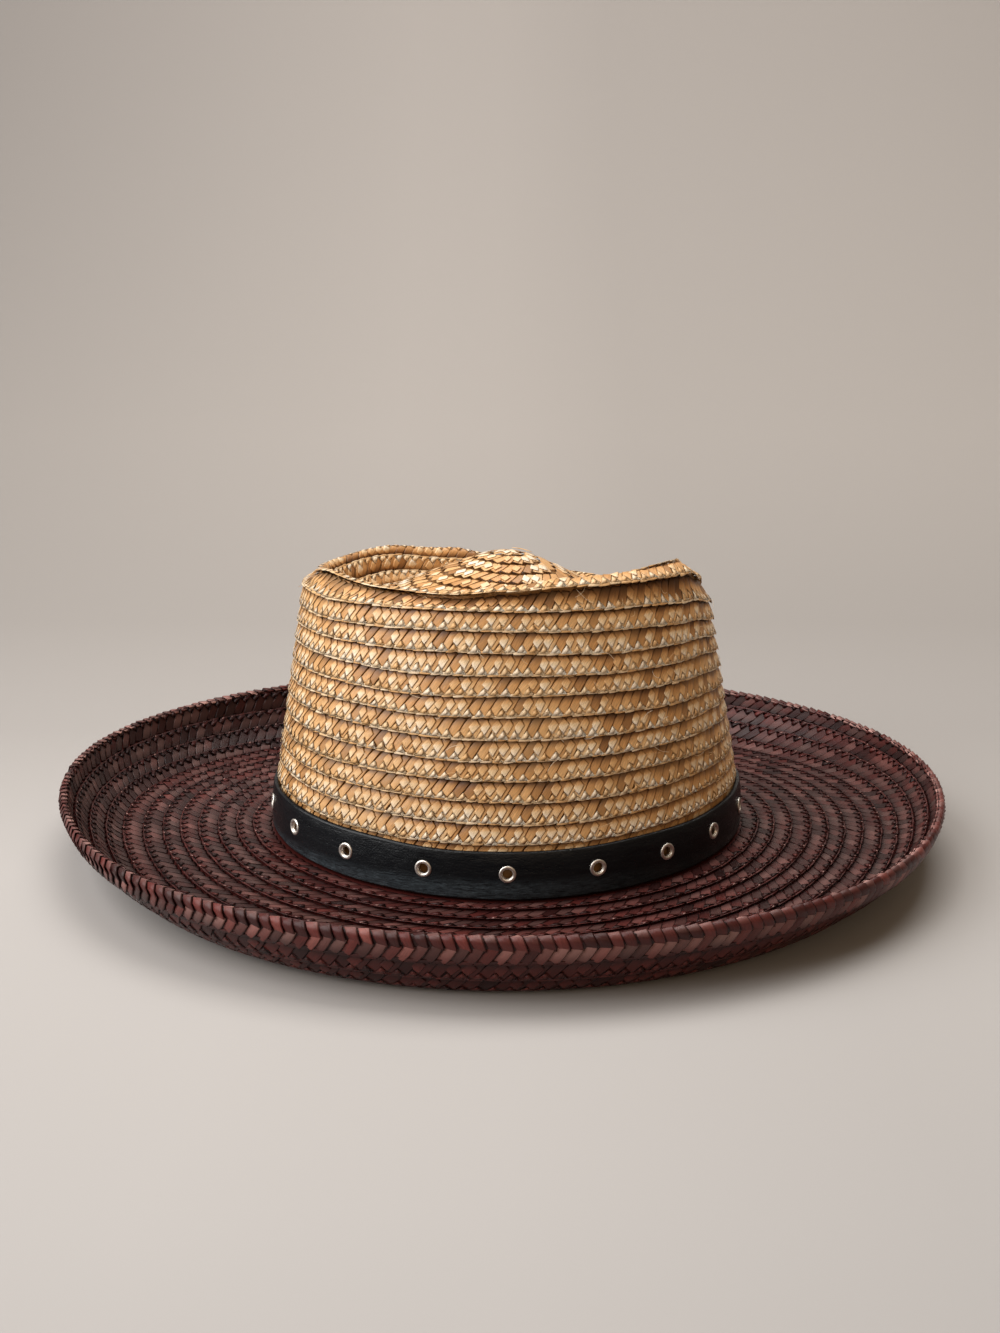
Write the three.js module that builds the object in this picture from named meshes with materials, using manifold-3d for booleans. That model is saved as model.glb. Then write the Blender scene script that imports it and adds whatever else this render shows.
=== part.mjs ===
// Straw hat sewn from braid: a natural crown with a dented top, a dyed brim with a turned-up edge,
// and a leather band set with metal eyelets.
// Millimetres, +Z up, the head's long axis along X, the hat's seen side towards -Y.
import * as THREE from "three";
import { mergeVertices } from "three/addons/utils/BufferGeometryUtils.js";
import Module from "manifold-3d";

// Driving dimensions
const HEAD_LENGTH = 196; // inside length of the oval that the head goes into
const OVAL = 0.842; // depth of the crown's oval as a share of its length
const STRAW_WALL = 2; // sewn braid, two layers where the rows overlap
const ROW_STEP = 0.45; // how far a row's sewn edge stands out of the wall, and its other edge is tucked in
const FIT_GAP = 0.4; // between pieces that are sewn or pressed together on the real hat

// Crown
const CROWN_CENTRE_X = 2; // the crown sits a little off the brim's centre
const CROWN_ROWS = 12;
const CROWN_BASE_HALF = HEAD_LENGTH / 2 + STRAW_WALL; // half-length at the lowest row that shows
const CROWN_TAPER = 12.9; // the half-length lost between the lowest and the highest row
const LOWEST_ROW_Z = 29.5; // the lowest row's sewn edge, just above the band
const LOWEST_ROW_SADDLE = 2.8; // it is higher at the two ends of the oval than at its sides
const CREST_STEP = 1; // from the highest side row in to the crest's widest line
const FOOT_FLARE = 0.6; // the crown's foot spreads by this much under the band
const BAND_COVER = 1; // the band reaches this far above the line where the foot starts
const APEX_Z = 128.5;
const DOME_SLOPE_RIGHT = 0.55; // the dome falls off more steeply towards +X than towards -X
const DOME_SLOPE_LEFT = 0.42;
const DOME_ROUNDING = 12; // radius over which the dome's slope turns over at its middle
const MOAT_Z = 105.5; // the lowest level of the dent round the dome
const MOAT_UNDER_CREST = 4; // least depth of that dent, where the crest is low

// The crest and the highest side row, by azimuth in degrees from +X, anticlockwise from above
const CREST = [
  { azimuth: -180, crest: 121, firstRow: 115.5 },
  { azimuth: -155, crest: 125.5, firstRow: 116.7 },
  { azimuth: -125, crest: 124, firstRow: 118.2 },
  { azimuth: -105, crest: 124.5, firstRow: 118.6 },
  { azimuth: -90, crest: 127, firstRow: 118.6 },
  { azimuth: -75, crest: 129.5, firstRow: 118.2 },
  { azimuth: -60, crest: 130.5, firstRow: 117 },
  { azimuth: -30, crest: 131, firstRow: 114.5 },
  { azimuth: -15, crest: 124, firstRow: 111 },
  { azimuth: 0, crest: 114.5, firstRow: 106 },
  { azimuth: 20, crest: 109, firstRow: 101 },
  { azimuth: 45, crest: 106.5, firstRow: 99 },
  { azimuth: 70, crest: 107.5, firstRow: 100 },
  { azimuth: 90, crest: 113, firstRow: 105 },
  { azimuth: 110, crest: 118, firstRow: 110 },
  { azimuth: 135, crest: 121.5, firstRow: 113.5 },
  { azimuth: 160, crest: 120.5, firstRow: 114.5 },
];

// The crest's roll outwards of its top: inset from the wall, and drop as a share of the way to the first row
const CREST_ROLL = [
  { inset: 5, share: 0.1 },
  { inset: 2.6, share: 0.38 },
  { inset: 1, share: 0.75 },
];
// The dent's wall inwards of the crest: inset from the wall, and drop as a share of the dent's depth
const CREST_INSET = 7.5;
const MOAT_WALL = [
  { inset: 10.5, share: 0.28 },
  { inset: 14, share: 0.72 },
  { inset: 19, share: 0.95 },
  { inset: 25, share: 1 },
];
const DOME_RINGS = [32, 42, 54, 66, 76]; // insets of the dome's rings from the wall

// Brim
const BRIM_WALL = 2.4;
const FLOOR_ROWS = 8;
const FLOOR_WIDTH = 66.4; // from the band's outer face to where the brim turns up
const END_PULL = 5.1; // the floor is narrower by this much near the oval's two ends
const END_PULL_AT = 74; // where it is narrowest, in degrees from the middle of the near side
const END_PULL_SPREAD = 26; // degrees over which that fades away
const FLOOR_Z_SIDE = 4.3; // top of the brim at the band, on the oval's long sides
const FLOOR_Z_END = 10.1; // the same at the oval's two ends
const FLOOR_DROP = 1.9; // the floor falls this much outwards on the long sides
const EDGE_LEAN = -1.4; // the turned-up edge is higher at -X
const CONTACT_SINK = 0.5; // the lowest rows lie flat on the table over this much of their height
const CURL_ROWS = [
  { sideWidth: 9.3, sideSlope: 12, endWidth: 7.8, endSlope: 22 },
  { sideWidth: 9.3, sideSlope: 46, endWidth: 7.8, endSlope: 32 },
  { sideWidth: 9.3, sideSlope: 60, endWidth: 7.8, endSlope: 46 },
  { sideWidth: 9.3, sideSlope: 76, endWidth: 7.8, endSlope: 56 },
];
const BRIM_UNDER_CROWN = 1.4; // the brim's inner edge shows this far inside the crown's wall
const BRIM_UNDER_BAND = 0.5; // the floor's first row starts this far inside the band's face

// Band and eyelets
const BAND_THICKNESS = 2;
const BAND_HEIGHT = 19.5;
const BAND_LEAN = 1.2; // the band's top edge lies this far inwards of its bottom edge
const BAND_ROUND = 0.6; // rounding of the leather's edges
const BAND_HALF = CROWN_BASE_HALF + FOOT_FLARE + FIT_GAP + BAND_THICKNESS; // outer, at its bottom edge
const BAND_HALF_DEPTH = CROWN_BASE_HALF * OVAL + BAND_HALF - CROWN_BASE_HALF;
const HOLE_RADIUS = 2.6;
const EYELET_BORE = 1.9;
const EYELET_BARREL = 2.3;
const EYELET_FLANGE = 3.4;
const EYELET_FLANGE_HEIGHT = 0.7;
const EYELET_LIFT = 0.3; // flange above the leather's outer face
const EYELET_RISE = 0.55; // how far up the band the eyelets sit, as a share of its height
const BARREL_SHORT = 0.1; // the barrel ends this far inside the leather
const SEEN_EYELETS = [-170, -149.5, -129.5, -109, -90, -69.5, -51, -33.5, -13.5];
const HIDDEN_EYELETS = [7.5, 28.5, 49.5, 70, 90, 110, 130.5, 151.5, 171.5];

const OVAL_STEPS = 42;
const EYELET_STEPS = 10;

const wasm = await Module();
wasm.setup();

const radians = THREE.MathUtils.degToRad;
const mix = THREE.MathUtils.lerp;

// How far an azimuth is towards the oval's two ends: 1 there, 0 on the long sides.
const endShare = (azimuth) => Math.cos(azimuth) ** 2;

// A value of the CREST table at an azimuth in radians, eased between its rows.
function crestValue(azimuth, column) {
  const degrees = ((THREE.MathUtils.radToDeg(azimuth) + 180) % 360) - 180;
  const turn = degrees < -180 ? degrees + 360 : degrees;
  const after = CREST.findIndex((row) => row.azimuth > turn);
  const high = after < 0 ? { ...CREST[0], azimuth: 180 } : CREST[after];
  const low = after < 0 ? CREST[CREST.length - 1] : CREST[after - 1];
  const share = (turn - low.azimuth) / (high.azimuth - low.azimuth);
  return mix(low[column], high[column], THREE.MathUtils.smoothstep(share, 0, 1));
}

// A section point of the crown: half-length of its oval and height. stepped marks a braid row's sewn edge.
const crownPoint = (half, z, stepped = false) => ({
  centreX: CROWN_CENTRE_X,
  half,
  halfDepth: half * OVAL,
  z,
  stepped,
});

function domeHeight(azimuth, half) {
  const slope = mix(DOME_SLOPE_LEFT, DOME_SLOPE_RIGHT, (1 + Math.cos(azimuth)) / 2);
  return APEX_Z - slope * (Math.hypot(half, DOME_ROUNDING) - DOME_ROUNDING);
}

// The crown's section at an azimuth, from the middle of the dome outwards and down to the brim.
function crownSection(azimuth) {
  const crest = crestValue(azimuth, "crest");
  const firstRow = crestValue(azimuth, "firstRow");
  const moat = Math.min(MOAT_Z, crest - MOAT_UNDER_CREST);
  const wallHalf = CROWN_BASE_HALF - CROWN_TAPER - CREST_STEP;
  const points = [crownPoint(0, APEX_Z)];
  for (const inset of [...DOME_RINGS].reverse())
    points.push(crownPoint(wallHalf - inset, Math.max(domeHeight(azimuth, wallHalf - inset), moat)));
  for (const { inset, share } of [...MOAT_WALL].reverse())
    points.push(crownPoint(wallHalf - inset, mix(crest, moat, share)));
  points.push(crownPoint(wallHalf - CREST_INSET, crest));
  for (const { inset, share } of CREST_ROLL)
    points.push(crownPoint(wallHalf - inset, mix(crest, firstRow, share)));
  const lowestRow = LOWEST_ROW_Z + LOWEST_ROW_SADDLE * Math.cos(2 * azimuth);
  for (let row = 0; row < CROWN_ROWS; row++) {
    const share = row / (CROWN_ROWS - 1);
    const half = CROWN_BASE_HALF - CROWN_TAPER * (1 - share);
    points.push(crownPoint(half, mix(firstRow, lowestRow, share), true));
  }
  const foot = floorHeight(azimuth, 0) + FIT_GAP;
  points.push(crownPoint(CROWN_BASE_HALF - FOOT_FLARE, foot + BAND_HEIGHT - BAND_COVER));
  points.push(crownPoint(CROWN_BASE_HALF + FOOT_FLARE, foot));
  return points;
}

// The height of the brim's top face at an azimuth, out across its floor by a share of the floor's width.
function floorHeight(azimuth, share) {
  const end = endShare(azimuth);
  return mix(FLOOR_Z_SIDE, FLOOR_Z_END, end) - FLOOR_DROP * (1 - end) * share;
}

// The width of the brim's floor at an azimuth.
function floorWidth(azimuth) {
  const fromNearSide = THREE.MathUtils.radToDeg(Math.acos(-Math.sin(azimuth)));
  return FLOOR_WIDTH - END_PULL * Math.exp(-(((fromNearSide - END_PULL_AT) / END_PULL_SPREAD) ** 2));
}

// The brim's section at an azimuth, from the crown's foot outwards and up to the rim.
function brimSection(azimuth) {
  const end = endShare(azimuth);
  const inner = CROWN_BASE_HALF - STRAW_WALL - BRIM_UNDER_CROWN - BAND_HALF;
  const brimPoint = (offset, z, stepped) => ({
    centreX: CROWN_CENTRE_X * (1 - THREE.MathUtils.clamp(offset / FLOOR_WIDTH, 0, 1)),
    half: BAND_HALF + offset,
    halfDepth: BAND_HALF_DEPTH + offset,
    z,
    stepped,
  });
  const points = [brimPoint(inner, floorHeight(azimuth, 0), false)];
  points.push(brimPoint(-BRIM_UNDER_BAND, floorHeight(azimuth, 0), false));
  for (let row = 1; row <= FLOOR_ROWS; row++) {
    const share = row / FLOOR_ROWS;
    points.push(brimPoint(floorWidth(azimuth) * share, floorHeight(azimuth, share), true));
  }
  let offset = floorWidth(azimuth);
  let z = floorHeight(azimuth, 1);
  CURL_ROWS.forEach((row, index) => {
    const width = mix(row.sideWidth, row.endWidth, end);
    const slope = radians(mix(row.sideSlope, row.endSlope, end));
    offset += width * Math.cos(slope);
    z += width * Math.sin(slope) + (EDGE_LEAN * Math.cos(azimuth)) / CURL_ROWS.length;
    points.push(brimPoint(offset, z, index < CURL_ROWS.length - 1));
  });
  return points;
}

// The unit normal of a section line at one of its points, on the side that faces up or outwards.
function normalAt(points, index) {
  const before = points[Math.max(index - 1, 0)];
  const after = points[Math.min(index + 1, points.length - 1)];
  const along = new THREE.Vector2(after.half - before.half, after.z - before.z).normalize();
  return new THREE.Vector2(-along.y, along.x);
}

const shifted = (point, normal, by) => ({
  centreX: point.centreX,
  half: point.half + normal.x * by,
  halfDepth: point.halfDepth + normal.x * by,
  z: point.z + normal.y * by,
});

// The face of a wall that carries the braid rows: each sewn edge stands proud over the next row.
function rowFace(points) {
  return points.flatMap((point, index) => {
    if (!point.stepped) return [point];
    const normal = normalAt(points, index);
    return [shifted(point, normal, ROW_STEP), shifted(point, normal, -ROW_STEP)];
  });
}

// The other face of the wall, without steps and with half as many rows, in the opposite order.
function plainFace(points, wall) {
  return points
    .map((point, index) => shifted(point, normalAt(points, index), -wall))
    .filter((point, index) => !points[index].stepped || index % 2 === 1)
    .reverse();
}

// A closed skin round Z through one loop of section points for each azimuth. Where the first and the
// last point lie on the axis the skin ends there, and otherwise the loop closes on itself.
function skin(loopAt) {
  const steps = OVAL_STEPS;
  const loops = Array.from({ length: steps }, (_, i) => loopAt((2 * Math.PI * i) / steps));
  const count = loops[0].length;
  const positions = [];
  loops.forEach((loop, i) => {
    const azimuth = (2 * Math.PI * i) / steps;
    for (const { centreX, half, halfDepth, z } of loop)
      positions.push(centreX + half * Math.cos(azimuth), halfDepth * Math.sin(azimuth), z);
  });
  const open = loops[0][0].half === 0;
  const last = open ? count - 1 : count;
  const triangles = [];
  for (let i = 0; i < steps; i++)
    for (let j = 0; j < last; j++) {
      const a = i * count + j;
      const b = i * count + ((j + 1) % count);
      const c = ((i + 1) % steps) * count + j;
      const d = ((i + 1) % steps) * count + ((j + 1) % count);
      if (!(open && j === 0)) triangles.push(a, b, c);
      if (!(open && j === last - 1)) triangles.push(c, b, d);
    }
  const geometry = new THREE.BufferGeometry();
  geometry.setAttribute("position", new THREE.Float32BufferAttribute(positions, 3));
  geometry.setIndex(triangles);
  return mergeVertices(geometry, 1e-3);
}

function crownGeometry() {
  const loopAt = (azimuth) => {
    const section = crownSection(azimuth);
    const inside = plainFace(section, STRAW_WALL);
    inside[inside.length - 1] = crownPoint(0, APEX_Z - STRAW_WALL);
    inside[0].z = section[section.length - 1].z;
    return [...rowFace(section), ...inside];
  };
  return skin(loopAt);
}

function brimGeometry() {
  const loopAt = (azimuth) => {
    const section = brimSection(azimuth);
    const under = plainFace(section, BRIM_WALL);
    for (const point of under) point.z = Math.max(point.z - CONTACT_SINK, 0);
    return [...rowFace(section), ...under];
  };
  return skin(loopAt);
}

// The band's loop: its lower outer corner is rounded, so is the upper one, and its back lies on the crown.
function bandLoop(azimuth) {
  const low = floorHeight(azimuth, 0) + FIT_GAP;
  const bandPoint = (inwards, up) => {
    const inset = inwards + (BAND_LEAN * up) / BAND_HEIGHT;
    return {
      centreX: CROWN_CENTRE_X,
      half: BAND_HALF - inset,
      halfDepth: BAND_HALF_DEPTH - inset,
      z: low + up,
    };
  };
  return [
    bandPoint(BAND_THICKNESS, BAND_HEIGHT),
    bandPoint(BAND_ROUND, BAND_HEIGHT),
    bandPoint(0, BAND_HEIGHT - BAND_ROUND),
    bandPoint(0, BAND_ROUND),
    bandPoint(BAND_ROUND, 0),
    bandPoint(BAND_THICKNESS, 0),
  ];
}

function solidOf(geometry) {
  const bare = geometry.clone();
  bare.deleteAttribute("normal");
  bare.deleteAttribute("uv");
  const merged = mergeVertices(bare, 1e-3);
  return new wasm.Manifold(
    new wasm.Mesh({
      numProp: 3,
      vertProperties: merged.attributes.position.array,
      triVerts: new Uint32Array(merged.index.array),
    }),
  );
}

function geometryOf(solid) {
  const mesh = solid.getMesh();
  const geometry = new THREE.BufferGeometry();
  geometry.setAttribute("position", new THREE.BufferAttribute(mesh.vertProperties, 3));
  geometry.setIndex(new THREE.BufferAttribute(mesh.triVerts, 1));
  return geometry;
}

// Where an eyelet sits on the band's outer face, with its axis along the face's normal.
function eyeletPlace(degrees) {
  const azimuth = radians(degrees);
  const inset = BAND_LEAN * EYELET_RISE;
  const half = BAND_HALF - inset;
  const halfDepth = BAND_HALF_DEPTH - inset;
  const middle = new THREE.Vector3(
    CROWN_CENTRE_X + half * Math.cos(azimuth),
    halfDepth * Math.sin(azimuth),
    floorHeight(azimuth, 0) + FIT_GAP + BAND_HEIGHT * EYELET_RISE,
  );
  const outwards = new THREE.Vector3(
    Math.cos(azimuth) / half,
    Math.sin(azimuth) / halfDepth,
    0,
  ).normalize();
  outwards.z = BAND_LEAN / BAND_HEIGHT;
  const turn = new THREE.Quaternion().setFromUnitVectors(
    new THREE.Vector3(0, 1, 0),
    outwards.normalize(),
  );
  return new THREE.Matrix4().compose(middle, turn, new THREE.Vector3(1, 1, 1));
}

function bandGeometry(eyelets) {
  let band = solidOf(skin(bandLoop));
  for (const degrees of eyelets) {
    const drill = new THREE.CylinderGeometry(HOLE_RADIUS, HOLE_RADIUS, 4 * BAND_THICKNESS, EYELET_STEPS);
    band = band.subtract(solidOf(drill.applyMatrix4(eyeletPlace(degrees))));
  }
  return geometryOf(band);
}

// A rolled ring: a barrel through the leather and a flange over its outer face.
function eyeletGeometry() {
  const back = BARREL_SHORT - BAND_THICKNESS;
  const outline = [
    [EYELET_BORE, back],
    [EYELET_BARREL, back],
    [EYELET_BARREL, EYELET_LIFT],
    [EYELET_FLANGE, EYELET_LIFT],
    [EYELET_BORE, EYELET_LIFT + EYELET_FLANGE_HEIGHT],
    [EYELET_BORE, back],
  ];
  return new THREE.LatheGeometry(
    outline.map(([radius, height]) => new THREE.Vector2(radius, height)),
    EYELET_STEPS,
  );
}

const naturalStraw = new THREE.MeshStandardMaterial({ color: 0xc99a5f, roughness: 0.5, metalness: 0 });
const dyedStraw = new THREE.MeshStandardMaterial({ color: 0x5a2c2e, roughness: 0.55, metalness: 0 });
const blackLeather = new THREE.MeshStandardMaterial({ color: 0x121516, roughness: 0.4, metalness: 0 });
const nickel = new THREE.MeshStandardMaterial({ color: 0xb9b4ac, roughness: 0.3, metalness: 1 });

function named(name, geometry, material) {
  const mesh = new THREE.Mesh(geometry, material);
  mesh.name = name;
  return mesh;
}

const eyelets = [...SEEN_EYELETS, ...HIDDEN_EYELETS];
const hat = new THREE.Group();
hat.add(named("crown", crownGeometry(), naturalStraw));
hat.add(named("brim", brimGeometry(), dyedStraw));
hat.add(named("band", bandGeometry(eyelets), blackLeather));
eyelets.forEach((degrees, index) => {
  const eyelet = named(`eyelet_${String(index + 1).padStart(2, "0")}`, eyeletGeometry(), nickel);
  eyelet.applyMatrix4(eyeletPlace(degrees));
  hat.add(eyelet);
});

export default hat;
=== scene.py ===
"""Straw hat: the sewn braid of its crown and brim, its leather band and its eyelets."""

import math

import bmesh
import bpy
import numpy as np
from mathutils import Matrix, Vector

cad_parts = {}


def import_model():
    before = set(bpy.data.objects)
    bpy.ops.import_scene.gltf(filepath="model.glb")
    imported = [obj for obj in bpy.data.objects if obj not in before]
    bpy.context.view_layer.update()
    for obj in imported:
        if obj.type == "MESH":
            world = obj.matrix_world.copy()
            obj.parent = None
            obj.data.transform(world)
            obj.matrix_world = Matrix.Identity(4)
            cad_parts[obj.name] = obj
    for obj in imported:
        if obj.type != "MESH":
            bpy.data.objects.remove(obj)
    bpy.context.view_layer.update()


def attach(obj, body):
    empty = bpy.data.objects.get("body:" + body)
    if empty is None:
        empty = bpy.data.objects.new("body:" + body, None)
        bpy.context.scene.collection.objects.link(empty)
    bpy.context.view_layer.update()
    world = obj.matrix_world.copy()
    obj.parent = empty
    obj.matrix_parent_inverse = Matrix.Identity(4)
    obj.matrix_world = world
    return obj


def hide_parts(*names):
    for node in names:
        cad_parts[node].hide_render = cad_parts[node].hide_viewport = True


# Sizes are in millimetres until a mesh is made; eyelets, materials, lights and the camera are in metres
MM = 0.001
MERGE_DISTANCE = 0.00001  # metres
LEAST_HEIGHT = 0.00005  # metres; nothing lies lower than this above the floor

# Driving sizes, the same as those of the solids
HEAD_LENGTH = 196.0
OVAL = 0.842
STRAW_WALL = 2.0
FIT_GAP = 0.4
CROWN_CENTRE_X = 2.0
CROWN_ROWS = 12
CROWN_BASE_HALF = HEAD_LENGTH / 2 + STRAW_WALL
CROWN_TAPER = 12.9
LOWEST_ROW_Z = 29.5
LOWEST_ROW_SADDLE = 2.8
CREST_STEP = 1.0
FOOT_FLARE = 0.6
BAND_COVER = 1.0
APEX_Z = 128.5
DOME_SLOPE_RIGHT = 0.55
DOME_SLOPE_LEFT = 0.42
DOME_ROUNDING = 12.0
MOAT_Z = 105.5
MOAT_UNDER_CREST = 4.0

# The crest, the highest side row, and where the crest's own row ends, as a share of the way between them
CREST = (
    {"azimuth": -180, "crest": 121.0, "first_row": 115.5, "lip": 0.12},
    {"azimuth": -155, "crest": 125.5, "first_row": 116.7, "lip": 0.05},
    {"azimuth": -125, "crest": 124.0, "first_row": 118.2, "lip": 0.10},
    {"azimuth": -105, "crest": 124.5, "first_row": 118.6, "lip": 0.26},
    {"azimuth": -90, "crest": 127.0, "first_row": 118.6, "lip": 0.24},
    {"azimuth": -75, "crest": 129.5, "first_row": 118.2, "lip": 0.26},
    {"azimuth": -60, "crest": 130.5, "first_row": 117.0, "lip": 0.30},
    {"azimuth": -30, "crest": 131.0, "first_row": 114.5, "lip": 0.31},
    {"azimuth": -15, "crest": 124.0, "first_row": 111.0, "lip": 0.28},
    {"azimuth": 0, "crest": 114.5, "first_row": 106.0, "lip": 0.25},
    {"azimuth": 20, "crest": 109.0, "first_row": 101.0, "lip": 0.25},
    {"azimuth": 45, "crest": 106.5, "first_row": 99.0, "lip": 0.25},
    {"azimuth": 70, "crest": 107.5, "first_row": 100.0, "lip": 0.25},
    {"azimuth": 90, "crest": 113.0, "first_row": 105.0, "lip": 0.25},
    {"azimuth": 110, "crest": 118.0, "first_row": 110.0, "lip": 0.22},
    {"azimuth": 135, "crest": 121.5, "first_row": 113.5, "lip": 0.18},
    {"azimuth": 160, "crest": 120.5, "first_row": 114.5, "lip": 0.15},
    {"azimuth": 180, "crest": 121.0, "first_row": 115.5, "lip": 0.12},
)
CREST_ROLL = ((5.0, 0.10), (2.6, 0.38), (1.0, 0.75))  # inset, share of the drop to the first row
CREST_INSET = 7.5
MOAT_WALL = ((25.0, 1.0), (19.0, 0.95), (14.0, 0.72), (10.5, 0.28))  # inset, share of the dent's depth
DOME_RINGS = (76.0, 66.0, 54.0, 42.0, 32.0)

BRIM_WALL = 2.4
FLOOR_ROWS = 8
FLOOR_WIDTH = 66.4
END_PULL = 5.1  # the floor is narrower by this much near the oval's two ends
END_PULL_AT = 74.0  # where it is narrowest, in degrees from the middle of the near side
END_PULL_SPREAD = 26.0
FLOOR_Z_SIDE = 4.3
FLOOR_Z_END = 10.1
FLOOR_DROP = 1.9
EDGE_LEAN = -1.4
# The rows that turn up, with their slope on the long sides and at the two ends
CURL_ROWS = (
    {"slope": 12.0, "end_slope": 22.0},
    {"slope": 46.0, "end_slope": 32.0},
    {"slope": 60.0, "end_slope": 46.0},
    {"slope": 76.0, "end_slope": 56.0},
)
CURL_WIDTH = 9.3
CURL_END_WIDTH = 7.8
BRIM_ROWS = FLOOR_ROWS + len(CURL_ROWS)
BRIM_TUCK = 1.4  # how far the brim reaches in under the crown's wall

BAND_THICKNESS = 2.0
BAND_HEIGHT = 19.5
BAND_LEAN = 1.2
BAND_HALF = CROWN_BASE_HALF + FOOT_FLARE + FIT_GAP + BAND_THICKNESS
BAND_HALF_DEPTH = CROWN_BASE_HALF * OVAL + BAND_HALF - CROWN_BASE_HALF
BAND_CORNER = 0.75
BAND_SWELL = 0.55
BAND_STEPS = 300
BRIM_INNER = CROWN_BASE_HALF - STRAW_WALL - BRIM_TUCK - BAND_HALF
SEEN_EYELETS = (-170.0, -149.5, -129.5, -109.0, -90.0, -69.5, -51.0, -33.5, -13.5)
HIDDEN_EYELETS = (7.5, 28.5, 49.5, 70.0, 90.0, 110.0, 130.5, 151.5, 171.5)
HOLE_RADIUS = 2.6
EYELET_RISE = 0.55  # how far up the band the eyelets sit, as a share of its height
EYELET_LIFT = 0.0005
EYELET_SIZES = {
    "Roll Radius": 0.00072,
    "Ring Radius": 0.0028,
    "Barrel Radius": 0.0022,
    "Barrel Depth": 0.0018,
}

# The braid: rows over the top, the straws' step along each braid, and how far a row drops to its tucked edge
TOP_ROWS = 13
CROWN_PITCH = 4.4
BRIM_PITCH = 5.7
RIM_PITCH = 4.8
ROW_TILT = 1.35
BRIM_TILT = 0.8
UNDER_TILT = 1.0
GROOVE = 0.9
GROOVE_WIDTH = 0.13
SEAM_WIDTH = 0.31  # the share of a row that is darkened with painted shade under the next row's edge
UNDER_LIP = (1.0, 1.85)  # the rows below the crest's own row that get a wider band of painted shade under it, and how wide that band is
LIP_SEAM_WIDTH = 0.62
# How deep the plain walls under the straws lie, outside and inside
CROWN_LINING = (1.9, 2.25)
BRIM_LINING = (0.85, 1.3)
RIM_LINING = (0.05, 0.5)
EDGE_WOBBLE = ((0.045, 14.3, 0.0), (0.03, 37.0, 1.0))  # of each row's edge: share of a row, waves, start

# How much one straw differs from the next
CORNER_JITTER = (0.075, 0.028)
PLACE_JITTER = (0.05, 0.018)
WIDTH_JITTER = 0.03
RELIEF_JITTER = 0.15
TIP_JITTER = 0.06
TONE_SPREAD = 0.22
TONE_JITTER = 0.07
SWAPPED_SHARE = 0.22  # how many straws are dark among the pale ones, or pale among the dark
STRAW_RUN = 33  # steps after which a straw ends and the next one is laid in
PALE_STRAWS = 3
PALE_TONE = 0.60  # straws paler than this lie on top and show as diamonds
GRAIN_LENGTH = 6.0

# The tones of each braid's pale and dark straws, from 0 to 1
CROWN_TONES = {"pale": 0.92, "dark": 0.45}
INSIDE_TONES = {"pale": 0.62, "dark": 0.40}
BRIM_TONES = {"pale": 0.44, "dark": 0.30}
UNDER_TONES = {"pale": 0.62, "dark": 0.45}
RIM_TONES = {"pale": 0.66, "dark": 0.48}
LEFT_SHADE = 0.45  # painted shade: how much darker the brim's turned-up rows are on the left, whose inside faces away from the key light
LEFT_SHADE_TURN = 0.06
TURNED_SHARE = 0.55  # how many straws show a turn at a brim row's edge, each with a pale painted highlight of random strength

# The crest's own row along the near edge: where it stands off, how far, and how deep the next row lies
LIP_AZIMUTH = -66.0
LIP_SPREAD = 43.0
LIP_RISE = 2.6
LIP_HOLLOW = 0.5
LIP_ROW_SPREAD = 0.4

# On the dome the straws are finer and lie flat, with only faint painted shade where the rows tuck under
DOME = {"rows": 9.0, "groove": 0.1, "size": 0.3, "dark": 0.1}

# The braid's cut end: its middle, half its reach and its skew in turns and rows, its height and bulge
TAB_TURN = (0.56, 0.030, -0.012)
TAB_ROW = (0.95, 0.62)
TAB_LIFT = (1.25, 0.45)
TAB_GRAIN = 8.0

# Split fibres: how many, how long, how far they turn and curl, and how high they stand
FIBRES = 170
FIBRE_LENGTH = (2.5, 8.0)
FIBRE_TURN = (-0.9, 0.9)
FIBRE_CURL = (-1.2, 1.2)
FIBRE_HALF_WIDTH = 0.09
FIBRE_FOOT = 0.5
FIBRE_LIFT = (0.1, 1.1)
FIBRE_BULGE = 0.10
FIBRE_TONE = (0.6, 0.98)
FIBRE_ROUND = 540.0  # the crown's usual girth
FIBRE_ROW = 8.0
STRAWS = 7  # a plait of seven straws, so each straw comes back at every seventh step

# The rim braid's section: from the top face over the edge, then on underneath by row and height
RIM_FROM = 0.22
RIM_OUTWARDS = 0.3  # the way out over the edge is taken from this many rows back
JUST_INSIDE = 0.001
RIM_EDGE = ({"down": -0.35, "out": -0.5}, {"down": 0.5, "out": 0.35}, {"down": 2.0, "out": 0.2})
RIM_UNDER = (
    {"row": 0.2, "lift": 0.6},
    {"row": 0.5, "lift": 0.9},
    {"row": 0.78, "lift": 1.1},
    {"row": 1.02, "lift": 1.2},
)

AZIMUTHS = 360
STEPS_PER_ROW = 8
CROWN_EDGE = TOP_ROWS + CROWN_ROWS  # the lowest row's sewn edge
CROWN_LAST = CROWN_EDGE + 2.0  # the crown's foot, under the band
UNDER_BAND = 0.9  # past the lowest row's edge by this much, the band hides the small straws
BRIM_HIDDEN = 0.77  # the brim's rows that lie under the band and the crown
NO_LENGTH = 1e-6
PATH_FROM_EDGE = 0.4  # the steps of the plait are counted along a line this many rows from the row's edge
WALL_CLEAR = 0.3  # the walls under the straws stay this far above the floor


def table_value(table, azimuth, column):
    """A column of a table at an azimuth in degrees, eased between its rows."""
    turn = (azimuth + 180.0) % 360.0 - 180.0
    for low, high in zip(table, table[1:]):
        if low["azimuth"] <= turn <= high["azimuth"]:
            share = (turn - low["azimuth"]) / (high["azimuth"] - low["azimuth"])
            eased = share * share * (3.0 - 2.0 * share)
            return low[column] + (high[column] - low[column]) * eased
    raise ValueError(azimuth)


def mix(low, high, share):
    return low + (high - low) * share


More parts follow.
